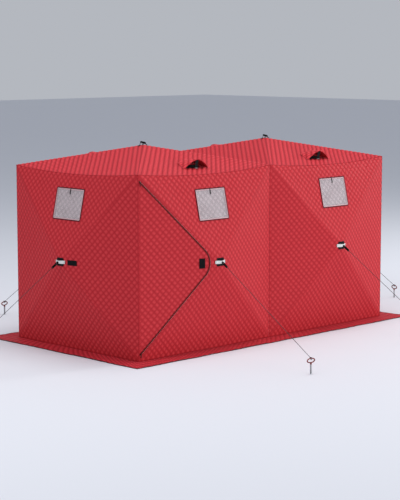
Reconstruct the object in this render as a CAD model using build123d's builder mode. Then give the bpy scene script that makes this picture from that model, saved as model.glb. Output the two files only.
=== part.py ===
"""Pop-up hub shelter for ice fishing: quilted fabric walls and roof pushed out by sprung rods.

Two square bays long and one bay deep. Every bay, on the walls and on the roof, is a shallow
pyramid of four sewn triangular gussets with a rod hub at its tip. Millimetres, +Z up, the long
side along X, the door side facing -Y, and the ground at z = 0 below the middle of the floor plan.
"""

import os
from math import atan
from math import cos
from math import degrees
from math import hypot
from math import radians
from math import tan

from build123d import *

# Plan and heights
bay_width = 1800.0
bay_depth = 1800.0
eave_height = 1760.0
wall_bulge = 195.0
roof_rise = 200.0

# Quilted skin
skin = 4.0
seam_gap = 0.3
seat = 0.3
trim_spare = 30.0

# Snow skirt
skirt_width = 220.0
skirt_thickness = 3.0
skirt_tuck = 14.0

# Rods, hubs and corner cups
rod_radius = 5.5
cup_radius = 8.0
cup_length = 42.0
cup_floor = 4.0
cup_from_corner = 46.0
rod_clearance = 0.3
hub_radius = 44.0
hub_depth = 26.0
hub_rim = 6.0
socket_radius = 9.0
socket_reach = 92.0
socket_floor = 30.0
bolt_radius = 6.0
bolt_hole = 8.0
bolt_rise = 9.0

# Hub patches, pull straps and rope tails outside
patch_width = 96.0
patch_height = 80.0
patch_corner = 8.0
patch_thickness = 1.5
strap_width = 31.0
strap_thickness = 1.6
strap_length = 134.0
strap_foot = 15.0
strap_top = 36.0
strap_arch = 16.0
strap_bend = 8.0
roof_strap_width = 25.0
roof_strap_length = 124.0
roof_strap_top = 58.0
roof_strap_arch = 28.0
tail_length = 84.0
tail_width = 22.0
tail_thickness = 7.0
tail_bore = 14.0

# Windows in the top gusset of each wall bay
window_width = 400.0
window_height = 306.0
window_below_eave = 184.0
window_corner = 12.0
pane_lap = 12.0
pane_thickness = 0.8
cover_thickness = 3.0
tab_width = 12.0
tab_length = 58.0
tab_thickness = 2.0

# Door in the left gusset of the left front bay
door_inset = 34.0
hinge_inset = 12.0
door_tip_radius = 170.0
door_gap = 5.0
tape_from_hinge = 6.0
zip_tape = 6.0
zip_thickness = 1.5
tip_patch_width = 66.0
tip_patch_height = 96.0
tip_patch_inset = 45.0
tip_wedge_angle = 22.5

# Blank patch on the left end
end_patch_width = 110.0
end_patch_height = 50.0
end_patch_offset = 148.0

# Roof vents, by the front and back eaves
vent_width = 322.0
vent_height = 57.0
vent_up_slope = 153.0
vent_depth = 165.0
vent_wall = 3.0
vent_tail_width = 170.0
vent_tail_height = 20.0
vent_hole_width = 180.0
vent_hole_depth = 80.0
vent_hole_back = 30.0
screen_lap = 8.0
screen_thickness = 1.0
prop_width = 26.0
prop_thickness = 3.0

# Guy ropes and ice anchors: where each anchor stands on the ice
rope_radius = 2.5
rope_eye_radius = 11.0
ring_width = 98.0
ring_height = 48.0
ring_rod_radius = 4.5
shaft_radius = 7.0
shaft_height = 100.0
front_left_anchor = (-1043.0, -2371.0)
front_right_anchor = (1045.0, -2100.0)
back_left_anchor = (-1060.0, 2090.0)
back_right_anchor = (1082.0, 2371.0)
left_anchor = (-2930.0, 210.0)
right_anchor = (2930.0, -210.0)

# Worked out from the sizes above
wall_base = skirt_thickness + seat
wall_mid = (eave_height + wall_base) / 2
wall_half = (eave_height - wall_base) / 2
half_bay = bay_width / 2
half_depth = bay_depth / 2
wall_steepest = atan(wall_bulge / min(half_bay, half_depth, wall_half))
roof_steepest = atan(roof_rise / min(half_bay, half_depth))

FOLDED = "folded"
LEVEL = "level"


class Bay:
    """One square of wall or roof: its flat plane, half sizes, bulge and how each edge is sewn.

    Edges and gussets are numbered 0 bottom, 1 right, 2 top, 3 left, as seen from outside.
    """

    def __init__(self, name, plane, half_x, half_y, bulge, edges, steepest):
        self.name = name
        self.plane = plane
        self.half_x = half_x
        self.half_y = half_y
        self.bulge = bulge
        self.edges = edges
        self.steepest = steepest

    def point(self, x, y, z):
        return self.plane.from_local_coords(Vector(x, y, z))

    def direction(self, x, y, z):
        return self.point(x, y, z) - self.plane.origin

    def outward(self, side):
        return [(0, -1), (1, 0), (0, 1), (-1, 0)][side]

    def reach(self, side):
        return self.half_y if side in (0, 2) else self.half_x

    def half_edge(self, side):
        return self.half_x if side in (0, 2) else self.half_y

    def slant(self, side):
        return hypot(self.reach(side), self.bulge)

    def gusset_plane(self, side, lift=0.0):
        """Plane of a gusset's outer face: x along the sewn edge, y from the edge to the tip."""
        ox, oy = self.outward(side)
        reach = self.reach(side)
        along = self.direction(-oy, ox, 0)
        to_tip = self.direction(-ox * reach, -oy * reach, self.bulge)
        normal = along.cross(to_tip).normalized()
        origin = self.point(ox * reach, oy * reach, 0) + normal * lift
        return Plane(origin=origin, x_dir=along, z_dir=normal)

    def edge_plane(self, side, inside):
        """Plane of the seam along an edge: mitred where the fabric folds over to the next bay."""
        ox, oy = self.outward(side)
        middle = self.point(ox * self.half_x, oy * self.half_y, 0)
        along = self.direction(-oy, ox, 0)
        lean = self.plane.z_dir
        if self.edges[side] == FOLDED:
            lean = self.direction(ox, oy, 1)
        return seam_plane(middle, along, lean, inside)

    def seam_planes(self, side):
        """The sewn seams round a gusset, each facing into it and set half a gap inside."""
        ox, oy = self.outward(side)
        inside = self.point(ox * self.half_x / 2, oy * self.half_y / 2, 0)
        tip = self.point(0, 0, self.bulge)
        planes = [self.edge_plane(edge, inside) for edge in range(4)]
        for turn in (-1, 1):
            corner = self.point((ox - turn * oy) * self.half_x, (oy + turn * ox) * self.half_y, 0)
            planes.append(seam_plane(tip, corner - tip, self.plane.z_dir, inside))
        return planes


def seam_plane(origin, along, across, inside):
    """Plane through two directions, turned to face the point inside and moved half a gap to it."""
    normal = along.cross(across).normalized()
    if normal.dot(inside - origin) < 0:
        normal = normal * -1
    return Plane(origin=origin + normal * (seam_gap / 2), z_dir=normal)


def wall_plane(x, y, x_dir, z_dir):
    return Plane(origin=(x, y, wall_mid), x_dir=x_dir, z_dir=z_dir)


front_left = Bay(
    "front_left", wall_plane(-half_bay, -half_depth, (1, 0, 0), (0, -1, 0)),
    half_bay, wall_half, wall_bulge, (LEVEL, LEVEL, FOLDED, FOLDED), wall_steepest)
front_right = Bay(
    "front_right", wall_plane(half_bay, -half_depth, (1, 0, 0), (0, -1, 0)),
    half_bay, wall_half, wall_bulge, (LEVEL, FOLDED, FOLDED, LEVEL), wall_steepest)
back_right = Bay(
    "back_right", wall_plane(half_bay, half_depth, (-1, 0, 0), (0, 1, 0)),
    half_bay, wall_half, wall_bulge, (LEVEL, LEVEL, FOLDED, FOLDED), wall_steepest)
back_left = Bay(
    "back_left", wall_plane(-half_bay, half_depth, (-1, 0, 0), (0, 1, 0)),
    half_bay, wall_half, wall_bulge, (LEVEL, FOLDED, FOLDED, LEVEL), wall_steepest)
left_end = Bay(
    "left_end", wall_plane(-bay_width, 0, (0, -1, 0), (-1, 0, 0)),
    half_depth, wall_half, wall_bulge, (LEVEL, FOLDED, FOLDED, FOLDED), wall_steepest)
right_end = Bay(
    "right_end", wall_plane(bay_width, 0, (0, 1, 0), (1, 0, 0)),
    half_depth, wall_half, wall_bulge, (LEVEL, FOLDED, FOLDED, FOLDED), wall_steepest)
roof_left = Bay(
    "roof_left", Plane(origin=(-half_bay, 0, eave_height)),
    half_bay, half_depth, roof_rise, (FOLDED, LEVEL, FOLDED, FOLDED), roof_steepest)
roof_right = Bay(
    "roof_right", Plane(origin=(half_bay, 0, eave_height)),
    half_bay, half_depth, roof_rise, (FOLDED, FOLDED, FOLDED, LEVEL), roof_steepest)

walls = [front_left, front_right, back_right, back_left, left_end, right_end]
roofs = [roof_left, roof_right]
bays = walls + roofs
DOOR_SIDE = 3
WINDOW_SIDE = 2
VENT_SIDES = (0, 2)


def save(part, name):
    part.label = name
    export_step(part, f"parts/{name}.step")


def trimmed_gusset(bay, side, outside, thickness):
    """A slab on a gusset's plane, larger than the gusset, cut back to its three seams."""
    half = bay.half_edge(side) + 3 * trim_spare
    tip = bay.slant(side) - bolt_hole
    with BuildPart() as gusset:
        with BuildSketch(bay.gusset_plane(side, outside)):
            with BuildLine():
                Polyline((-half, -trim_spare), (half, -trim_spare),
                         (4 * bolt_hole, tip), (-4 * bolt_hole, tip), close=True)
            make_face()
        extrude(amount=-thickness)
        for seam in bay.seam_planes(side):
            split(bisect_by=seam, keep=Keep.TOP)
    return gusset.part


def window_centre():
    return window_below_eave + window_height / 2


def windowed_gusset(bay):
    """The top gusset of a wall bay, with the window hole that the pane laps over."""
    with BuildPart() as gusset:
        add(trimmed_gusset(bay, WINDOW_SIDE, 0, skin))
        with BuildSketch(bay.gusset_plane(WINDOW_SIDE)):
            with Locations((0, window_centre())):
                RectangleRounded(window_width - 2 * pane_lap, window_height - 2 * pane_lap, window_corner)
        extrude(amount=-2 * skin, mode=Mode.SUBTRACT)
    return gusset.part


def door_share(bay, inset):
    """How far the sloping door edges stand in from the seams, as a share of the gusset."""
    return 1 - inset * hypot(1 / bay.half_edge(DOOR_SIDE), 1 / bay.slant(DOOR_SIDE))


def door_outline(bay, inset, hinge_line, tip_radius):
    """Sketch of the door gusset inside its seams: a triangle with a rounded tip."""
    half = bay.half_edge(DOOR_SIDE)
    slant = bay.slant(DOOR_SIDE)
    share = door_share(bay, inset)
    corner = half * (share - hinge_line / slant)
    with BuildSketch() as outline:
        with BuildLine():
            Polyline((-corner, hinge_line), (corner, hinge_line), (0, slant * share), close=True)
        make_face()
        fillet(outline.vertices().sort_by(Axis.Y)[-1], tip_radius)
    return outline.sketch


def tip_centre(bay):
    """Distance from the hinge edge to the centre of the door tip's arc."""
    half_angle = atan(bay.half_edge(DOOR_SIDE) / bay.slant(DOOR_SIDE))
    sharp = bay.slant(DOOR_SIDE) * door_share(bay, door_inset)
    return sharp - door_tip_radius / cos(radians(90) - half_angle)


def kept_part(solid, cuts):
    """The part of a solid that lies on the upper side of every cutting plane."""
    with BuildPart() as kept:
        add(solid)
        for cut in cuts:
            split(bisect_by=cut, keep=Keep.TOP)
    return kept.part


def doorway_surround(bay):
    """The fabric left round the doorway, cut into flat strips beside, over and under it."""
    plane = bay.gusset_plane(DOOR_SIDE)
    centre = plane.from_local_coords(Vector(0, tip_centre(bay), 0))
    half_angle = degrees(atan(bay.half_edge(DOOR_SIDE) / bay.slant(DOOR_SIDE)))
    rays = [half_angle - 90, -tip_wedge_angle, 0, tip_wedge_angle, 90 - half_angle]
    with BuildPart() as ring:
        add(trimmed_gusset(bay, DOOR_SIDE, 0, skin))
        with BuildSketch(plane):
            add(door_outline(bay, door_inset, hinge_inset, door_tip_radius))
        extrude(amount=-2 * skin, mode=Mode.SUBTRACT)

    def ray_plane(angle, facing):
        """Plane through the arc's centre that turns from the line to the tip by an angle."""
        x, y = Vector(0, 1, 0).rotate(Axis.Z, angle).X, Vector(0, 1, 0).rotate(Axis.Z, angle).Y
        normal = plane.from_local_coords(Vector(-y, x, 0)) - plane.origin
        normal = normal * facing
        return Plane(origin=centre + normal * (seam_gap / 2), z_dir=normal)

    hinge = plane.from_local_coords(Vector(0, hinge_inset, 0))
    under = plane.y_dir * -1
    over = plane.y_dir
    with BuildPart() as strips:
        add(kept_part(ring.part, [Plane(origin=hinge + under * (seam_gap / 2), z_dir=under)]))
        for turn in (-1, 1):
            add(kept_part(ring.part, [
                Plane(origin=hinge + over * (seam_gap / 2), z_dir=over),
                ray_plane(turn * (90 - half_angle), turn),
                Plane(origin=plane.origin, z_dir=plane.x_dir * -turn)]))
        for first, last in zip(rays, rays[1:]):
            add(kept_part(ring.part, [ray_plane(first, 1), ray_plane(last, -1)]))
    return strips.part


def slab_on_gusset(bay, side, sketch, lift, thickness):
    """A flat piece lying on a gusset, its near face lifted off the outer face of the skin."""
    with BuildPart() as slab:
        with BuildSketch(bay.gusset_plane(side, lift)):
            add(sketch)
        extrude(amount=thickness)
    return slab.part


def rectangle_at(width, height, corner, x, y):
    with BuildSketch() as outline:
        with Locations((x, y)):
            RectangleRounded(width, height, corner)
    return outline.sketch


def make_skins():
    for bay in bays:
        prefix = "" if bay in roofs else "wall_"
        with BuildPart() as skin_part:
            for side in range(4):
                if bay is front_left and side == DOOR_SIDE:
                    add(doorway_surround(bay))
                elif bay in walls and side == WINDOW_SIDE:
                    add(windowed_gusset(bay))
                elif bay in roofs and side in VENT_SIDES:
                    add(vented_gusset(bay, side))
                else:
                    add(trimmed_gusset(bay, side, 0, skin))
        save(skin_part.part, prefix + bay.name)


def door_zip_tape(bay, outer_inset, hole_inset):
    """One side of the zip: a flat tape along the two sloping door edges and round the tip."""
    start = hinge_inset + tape_from_hinge
    with BuildPart() as tape:
        with BuildSketch(bay.gusset_plane(DOOR_SIDE, seat)):
            add(door_outline(bay, outer_inset, start, door_tip_radius + door_inset - outer_inset))
            add(door_outline(bay, hole_inset, start - door_gap, door_tip_radius + door_inset - hole_inset),
                mode=Mode.SUBTRACT)
        extrude(amount=zip_thickness)
    return tape.part


def make_door():
    bay = front_left
    flap_inset = door_inset + door_gap
    flap = door_outline(bay, flap_inset, hinge_inset + seat, door_tip_radius - door_gap)
    save(slab_on_gusset(bay, DOOR_SIDE, flap, -skin, skin), "door_flap")
    save(door_zip_tape(bay, flap_inset, flap_inset + zip_tape), "door_zip_flap_side")
    save(door_zip_tape(bay, door_inset - zip_tape, door_inset), "door_zip_frame_side")

    tip = tip_centre(bay) + door_tip_radius - door_gap - zip_tape
    patch = rectangle_at(tip_patch_height, tip_patch_width, patch_corner / 2,
                         0, tip - tip_patch_inset - tip_patch_width / 2)
    save(slab_on_gusset(bay, DOOR_SIDE, patch, seat, patch_thickness), "door_tip_patch")


def make_skirt():
    outer_x = bay_width + skirt_width
    outer_y = half_depth + skirt_width
    inner_x = bay_width - skirt_tuck
    inner_y = half_depth - skirt_tuck
    corners = [(-1, -1), (1, -1), (1, 1), (-1, 1)]
    with BuildPart() as skirt:
        for (ax, ay), (bx, by) in zip(corners, corners[1:] + corners[:1]):
            with BuildSketch():
                with BuildLine():
                    Polyline((ax * outer_x, ay * outer_y), (bx * outer_x, by * outer_y),
                             (bx * inner_x, by * inner_y), (ax * inner_x, ay * inner_y), close=True)
                make_face()
            extrude(amount=skirt_thickness)
        for x in (-1, 1):
            for y in (-1, 1):
                with BuildSketch(Plane(origin=(x * inner_x, y * inner_y, 0))):
                    Rectangle(4 * skirt_width, seam_gap, rotation=45 * x * y)
                extrude(amount=skirt_thickness, mode=Mode.SUBTRACT)
    save(skirt.part, "snow_skirt")


def rod_depth(bay):
    """How far below the bay's outer tip the four rod axes meet, along the bay's normal."""
    return (skin + seat + cup_radius) / cos(bay.steepest)


def rod_line(bay, corner):
    """Start point and direction of a rod's axis, from the hub to a corner of the bay."""
    cx, cy = corner
    centre = bay.point(0, 0, bay.bulge - rod_depth(bay))
    along = bay.direction(cx * bay.half_x, cy * bay.half_y, -bay.bulge)
    return centre, along.normalized(), along.length


CORNERS = [(-1, -1), (1, -1), (1, 1), (-1, 1)]


def make_rods(bay):
    with BuildPart() as rods:
        for corner in CORNERS:
            centre, along, length = rod_line(bay, corner)
            start = socket_floor + rod_clearance
            end = length - cup_from_corner - cup_floor - rod_clearance
            with BuildSketch(Plane(origin=centre + along * start, z_dir=along)):
                Circle(rod_radius)
            extrude(amount=end - start)
    save(rods.part, f"rods_{bay.name}")


def make_hub(bay):
    """Hub body turned about the bay's normal, four sockets and the bolt through the skin."""
    slope = tan(bay.steepest)
    top = -(skin + seat) / cos(bay.steepest)
    bottom = -rod_depth(bay) - hub_depth + socket_radius
    with BuildPart() as hub:
        centre, normal = bay.point(0, 0, bay.bulge), bay.plane.z_dir
        with BuildSketch(Plane(origin=centre, x_dir=bay.plane.x_dir, z_dir=bay.plane.y_dir * -1)):
            with BuildLine():
                Polyline((0, top), (hub_radius, top - hub_radius * slope),
                         (hub_radius, top - hub_radius * slope - hub_rim),
                         (hub_radius / 2, bottom), (0, bottom), close=True)
            make_face()
        revolve(axis=Axis(centre, normal))
        for corner in CORNERS:
            origin, along, _ = rod_line(bay, corner)
            with BuildSketch(Plane(origin=origin, z_dir=along)):
                Circle(socket_radius)
            extrude(amount=socket_reach)
        for side in range(4):
            plane = bay.gusset_plane(side, -skin - seat)
            split(bisect_by=plane, keep=Keep.BOTTOM)
        for corner in CORNERS:
            origin, along, _ = rod_line(bay, corner)
            with BuildSketch(Plane(origin=origin + along * socket_floor, z_dir=along)):
                Circle(rod_radius + rod_clearance)
            extrude(amount=socket_reach, mode=Mode.SUBTRACT)
        with BuildSketch(Plane(origin=centre - normal * rod_depth(bay), z_dir=normal)):
            Circle(bolt_radius)
        extrude(amount=rod_depth(bay) + bolt_rise)
    save(hub.part, f"hub_{bay.name}")


def make_corner_cups():
    """A short sewn cup at each corner of each bay, closed at the outer end, for a rod's tip."""
    with BuildPart() as cups:
        for bay in bays:
            for corner in CORNERS:
                centre, along, length = rod_line(bay, corner)
                end = length - cup_from_corner
                with BuildSketch(Plane(origin=centre + along * (end - cup_length), z_dir=along)):
                    Circle(cup_radius)
                extrude(amount=cup_length)
                with BuildSketch(Plane(origin=centre + along * (end - cup_length), z_dir=along)):
                    Circle(rod_radius + rod_clearance)
                extrude(amount=cup_length - cup_floor, mode=Mode.SUBTRACT)
    save(cups.part, "corner_cups")


def tent_column(bay, lift, spare):
    """A column under the four outer gusset planes of a bay, raised by a lift."""
    with BuildPart() as column:
        with BuildSketch(Plane(origin=bay.point(0, 0, bay.bulge - 2 * patch_height),
                               x_dir=bay.plane.x_dir, z_dir=bay.plane.z_dir)):
            RectangleRounded(patch_width + spare, patch_height + spare, patch_corner)
        extrude(amount=4 * patch_height)
        for side in range(4):
            split(bisect_by=bay.gusset_plane(side, lift), keep=Keep.BOTTOM)
    return column.part


def hub_patch(bay):
    """A thin patch that follows the four gussets round a tip, with a hole for the hub's bolt."""
    outer = tent_column(bay, seat + patch_thickness, 0)
    inner = tent_column(bay, seat, 1)
    with BuildPart() as patch:
        add(outer)
        add(inner, mode=Mode.SUBTRACT)
        with BuildSketch(Plane(origin=bay.point(0, 0, bay.bulge - bolt_rise),
                               z_dir=bay.plane.z_dir)):
            Circle(bolt_radius + seat)
        extrude(amount=3 * bolt_rise, mode=Mode.SUBTRACT)
    return patch.part


def make_hub_patches():
    with BuildPart() as patches:
        for bay in walls:
            add(hub_patch(bay))
    save(patches.part, "hub_patches")


def strap_over_tip(bay, length, width, top, arch):
    """A webbing strap: flat feet on the skin each side of the tip, arched over the bolt."""
    slope = bay.bulge / bay.half_x
    lift = seat * hypot(1, slope)
    half = length / 2
    knee = half - strap_foot
    with BuildPart() as strap:
        middle = bay.point(0, 0, bay.bulge)
        with BuildSketch(Plane(origin=middle, x_dir=bay.plane.x_dir, z_dir=bay.plane.y_dir * -1)):
            with BuildLine():
                FilletPolyline((-half, lift - half * slope), (-knee, lift - knee * slope),
                               (-top / 2, arch), (top / 2, arch), (knee, lift - knee * slope),
                               (half, lift - half * slope), radius=strap_bend)
                offset(amount=strap_thickness, side=Side.LEFT)
            make_face()
        extrude(amount=width / 2, both=True)
    return strap.part


def make_straps():
    with BuildPart() as wall_straps:
        for bay in walls:
            add(strap_over_tip(bay, strap_length, strap_width, strap_top, strap_arch))
    save(wall_straps.part, "hub_pull_straps")
    with BuildPart() as roof_straps:
        for bay in roofs:
            add(strap_over_tip(bay, roof_strap_length, roof_strap_width, roof_strap_top,
                               roof_strap_arch))
    save(roof_straps.part, "roof_pull_straps")


def window_piece(bay, inset, lift, thickness):
    outline = rectangle_at(window_width - 2 * inset, window_height - 2 * inset, window_corner,
                           0, window_centre())
    return slab_on_gusset(bay, WINDOW_SIDE, outline, lift, thickness)


def make_windows():
    with BuildPart() as panes:
        for bay in walls:
            add(window_piece(bay, 0, seat, pane_thickness))
    save(panes.part, "window_panes")
    with BuildPart() as covers:
        for bay in walls:
            add(window_piece(bay, 0, -skin - seat - cover_thickness, cover_thickness))
    save(covers.part, "window_covers")
    with BuildPart() as tabs:
        for bay in walls:
            outline = rectangle_at(tab_width, tab_length, tab_width / 4,
                                   0, window_below_eave + tab_length / 2)
            lift = 2 * seat + pane_thickness
            add(slab_on_gusset(bay, WINDOW_SIDE, outline, lift, tab_thickness))
    save(tabs.part, "window_tabs")


def make_end_patch():
    """Blank rectangle beside the left hub, on the right gusset of the left end."""
    bay = left_end
    share = bay.slant(1) / bay.reach(1)
    outline = rectangle_at(end_patch_height, end_patch_width, patch_corner / 2,
                           0, bay.slant(1) - end_patch_offset * share)
    save(slab_on_gusset(bay, 1, outline, seat, patch_thickness), "end_patch")


def vent_mouth_plane(bay, side, up_slope, lift):
    """Upright section plane of a vent hood: x across the slope, y out of the roof."""
    roof = bay.gusset_plane(side, lift)
    origin = roof.from_local_coords(Vector(0, up_slope, 0))
    return Plane(origin=origin, x_dir=roof.x_dir * -1, z_dir=roof.y_dir)


def half_moon(plane, width, height):
    """Face on a plane bounded by a chord on the roof and an arc over it."""
    with BuildSketch(plane) as moon:
        with BuildLine():
            ThreePointArc((-width / 2, 0), (0, height), (width / 2, 0))
            Line((width / 2, 0), (-width / 2, 0))
        make_face()
    return moon.sketch


def vent_hood(bay, side):
    """Half cone, widest at its mouth, lofted from a half moon and hollowed by a smaller one."""
    inner_lift = seat - vent_wall / 2
    mouth = half_moon(vent_mouth_plane(bay, side, vent_up_slope, seat), vent_width, vent_height)
    tail = half_moon(vent_mouth_plane(bay, side, vent_up_slope + vent_depth, seat),
                     vent_tail_width, vent_tail_height)
    inner_mouth = half_moon(
        vent_mouth_plane(bay, side, vent_up_slope - vent_wall, inner_lift),
        vent_width - 2 * vent_wall, vent_height - vent_wall / 2)
    inner_tail = half_moon(
        vent_mouth_plane(bay, side, vent_up_slope + vent_depth - 2 * vent_wall, inner_lift),
        vent_tail_width - 2 * vent_wall, vent_tail_height - vent_wall / 2)
    with BuildPart() as hood:
        loft(sections=[mouth, tail], ruled=True)
        loft(sections=[inner_mouth, inner_tail], ruled=True, mode=Mode.SUBTRACT)
    return hood.part


def vent_hole_centre():
    return vent_up_slope + vent_hole_back + vent_hole_depth / 2


def vented_gusset(bay, side):
    with BuildPart() as gusset:
        add(trimmed_gusset(bay, side, 0, skin))
        with BuildSketch(bay.gusset_plane(side)):
            with Locations((0, vent_hole_centre())):
                RectangleRounded(vent_hole_width, vent_hole_depth, window_corner)
        extrude(amount=-2 * skin, mode=Mode.SUBTRACT)
    return gusset.part


def make_vents():
    with BuildPart() as hoods:
        for bay in roofs:
            for side in VENT_SIDES:
                add(vent_hood(bay, side))
    save(hoods.part, "vent_hoods")
    with BuildPart() as screens:
        for bay in roofs:
            for side in VENT_SIDES:
                outline = rectangle_at(vent_hole_width + 2 * screen_lap,
                                       vent_hole_depth + 2 * screen_lap, window_corner,
                                       0, vent_hole_centre())
                add(slab_on_gusset(bay, side, outline, -skin - seat - screen_thickness,
                                   screen_thickness))
    save(screens.part, "vent_screens")
    with BuildPart() as props:
        for bay in roofs:
            for side in VENT_SIDES:
                plane = vent_mouth_plane(bay, side, vent_up_slope + prop_thickness, seat)
                with BuildSketch(plane):
                    with Locations((0, vent_height / 2 - vent_wall)):
                        SlotOverall(vent_height - 2 * vent_wall, prop_width, rotation=90)
                extrude(amount=prop_thickness)
    save(props.part, "vent_props")


def anchor_of(bay):
    return {
        "front_left": front_left_anchor, "front_right": front_right_anchor,
        "back_left": back_left_anchor, "back_right": back_right_anchor,
        "left_end": left_anchor, "right_end": right_anchor}[bay.name]


def ring_centre(bay):
    x, y = anchor_of(bay)
    return Vector(x, y, shaft_height + seat + ring_height / 2)


def rope_line(bay):
    """Middle of the pull strap's outer face, and the rope's direction to the top of its ring."""
    strap_face = bay.point(0, 0, bay.bulge + strap_arch + strap_thickness)
    ring_top = ring_centre(bay) + Vector(0, 0, ring_height / 2 - ring_rod_radius)
    return strap_face, ring_top, (ring_top - strap_face).normalized()


def rope_tail(bay):
    """Folded webbing on edge, from the pull strap's face along the rope, with a socket for it."""
    strap_face, _, along = rope_line(bay)
    level = along.cross(Vector(0, 0, 1)).normalized()
    start = strap_face - along * tail_width
    with BuildPart() as tail:
        with BuildSketch(Plane(origin=start, x_dir=level.cross(along), z_dir=along)):
            RectangleRounded(tail_width, tail_thickness, tail_thickness / 3)
        extrude(amount=tail_width + tail_length)
        split(bisect_by=Plane(origin=strap_face + bay.plane.z_dir * seat,
                              z_dir=bay.plane.z_dir), keep=Keep.TOP)
        with BuildSketch(Plane(origin=strap_face + along * tail_length, z_dir=along)):
            Circle(rope_radius + seat)
        extrude(amount=-tail_bore, mode=Mode.SUBTRACT)
    return tail.part


def make_ropes():
    with BuildPart() as tails:
        for bay in walls:
            add(rope_tail(bay))
    save(tails.part, "rope_tails")
    with BuildPart() as ropes:
        for bay in walls:
            strap_face, ring_top, along = rope_line(bay)
            start = strap_face + along * (tail_length - tail_bore + seat)
            eye = ring_top + along * (rope_eye_radius - rope_radius - ring_rod_radius - seat)
            with BuildSketch(Plane(origin=start, z_dir=along)):
                Circle(rope_radius)
            extrude(amount=(eye - start).length - rope_eye_radius)
            upright = along.cross(Vector(0, 0, 1)).normalized()
            with BuildSketch(Plane(origin=eye, x_dir=along, z_dir=upright.cross(along))):
                with Locations((rope_eye_radius, 0)):
                    Circle(rope_radius)
            revolve(axis=Axis(eye, upright))
    save(ropes.part, "guy_ropes")


def make_anchors():
    with BuildPart() as rings:
        for bay in walls:
            _, _, along = rope_line(bay)
            level = Vector(along.X, along.Y, 0).normalized()
            across = level.cross(Vector(0, 0, 1))
            with BuildLine(Plane(origin=ring_centre(bay), x_dir=across, z_dir=level)) as ring:
                EllipticalCenterArc((0, 0), ring_width / 2 - ring_rod_radius,
                                    ring_height / 2 - ring_rod_radius, arc_size=360)
            with BuildSketch(Plane(origin=ring.line @ 0, z_dir=ring.line % 0)):
                Circle(ring_rod_radius)
            sweep(path=ring.line)
    save(rings.part, "anchor_rings")
    with BuildPart() as shafts:
        for bay in walls:
            x, y = anchor_of(bay)
            with BuildSketch(Plane(origin=(x, y, 0))):
                Circle(shaft_radius)
            extrude(amount=shaft_height)
    save(shafts.part, "anchor_shafts")


os.makedirs("parts", exist_ok=True)
make_skins()
make_door()
make_skirt()
for each_bay in bays:
    make_rods(each_bay)
    make_hub(each_bay)
make_corner_cups()
make_hub_patches()
make_straps()
make_windows()
make_end_patch()
make_vents()
make_ropes()
make_anchors()
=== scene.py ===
"""Two-bay pop-up ice fishing shelter: red quilted skin on sprung rods, in the order it is put up.

Metres, +Z up, long side along X, door side facing -Y, ice at z = 0.
"""

import math

import bmesh
import bpy
import numpy as np
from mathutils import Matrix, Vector


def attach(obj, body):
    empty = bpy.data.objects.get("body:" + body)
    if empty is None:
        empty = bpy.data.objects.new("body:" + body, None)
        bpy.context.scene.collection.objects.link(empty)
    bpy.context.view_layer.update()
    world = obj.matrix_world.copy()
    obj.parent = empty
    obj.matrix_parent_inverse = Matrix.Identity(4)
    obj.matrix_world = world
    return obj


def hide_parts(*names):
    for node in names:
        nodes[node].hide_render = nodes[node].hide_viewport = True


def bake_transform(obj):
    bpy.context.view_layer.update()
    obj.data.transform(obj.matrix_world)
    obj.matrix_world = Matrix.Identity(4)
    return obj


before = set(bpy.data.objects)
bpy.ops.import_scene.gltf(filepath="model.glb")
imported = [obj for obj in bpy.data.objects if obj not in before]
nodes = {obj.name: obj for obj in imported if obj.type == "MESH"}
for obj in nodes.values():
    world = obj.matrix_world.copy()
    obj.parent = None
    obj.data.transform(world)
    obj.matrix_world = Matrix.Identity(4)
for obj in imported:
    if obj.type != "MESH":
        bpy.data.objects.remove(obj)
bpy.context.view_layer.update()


# Camera
# Stands as the photograph's did, a little above the roof's height, in front of the near corner.
# Its place was found from the shelter's own corners, hubs and roof tips.
view_turn = math.radians(45.15)
view_down = math.radians(7.41)
view_distance = 16.05
view_aside = -0.067
view_height = 2.901
lens_over_frame = 1540 / 500

forward = Vector((math.cos(view_turn), math.sin(view_turn), 0))
aside = Vector((math.sin(view_turn), -math.cos(view_turn), 0))
camera_data = bpy.data.cameras.new("camera")
camera_data.sensor_width = 36
camera_data.lens = camera_data.sensor_width * lens_over_frame
camera_data.clip_end = 200
camera = bpy.data.objects.new("camera", camera_data)
camera.location = forward * -view_distance + aside * view_aside + Vector((0, 0, view_height))
camera.rotation_euler = (math.radians(90) - view_down, 0, view_turn - math.radians(90))
bpy.context.scene.collection.objects.link(camera)
bpy.context.scene.camera = camera
bpy.context.scene.view_settings.view_transform = "Standard"


# Floor, backdrop and light
# A plain pale floor, soft lamps and a pale world: the main lamp stands high in front and to the
# right, so that the roof is the lightest face and the left end the darkest.
def new_material(name):
    """A material, its node tree and its Principled shader."""
    material = bpy.data.materials.new(name)
    material.use_nodes = True
    tree = material.node_tree
    return material, tree, tree.nodes["Principled BSDF"]


def link_object(name, mesh, *materials):
    piece = bpy.data.objects.new(name, mesh)
    bpy.context.scene.collection.objects.link(piece)
    for material in materials:
        mesh.materials.append(material)
    return piece


lamp_aim = Vector((0, 0, 0.9))


def add_lamp(name, place, size, watts, colour):
    data = bpy.data.lights.new(name, "AREA")
    data.shape = "DISK"
    data.size = size
    data.energy = watts
    data.color = colour
    lamp = bpy.data.objects.new(name, data)
    lamp.location = place
    lamp.rotation_euler = (lamp_aim - Vector(place)).to_track_quat("-Z", "Y").to_euler()
    bpy.context.scene.collection.objects.link(lamp)


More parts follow.
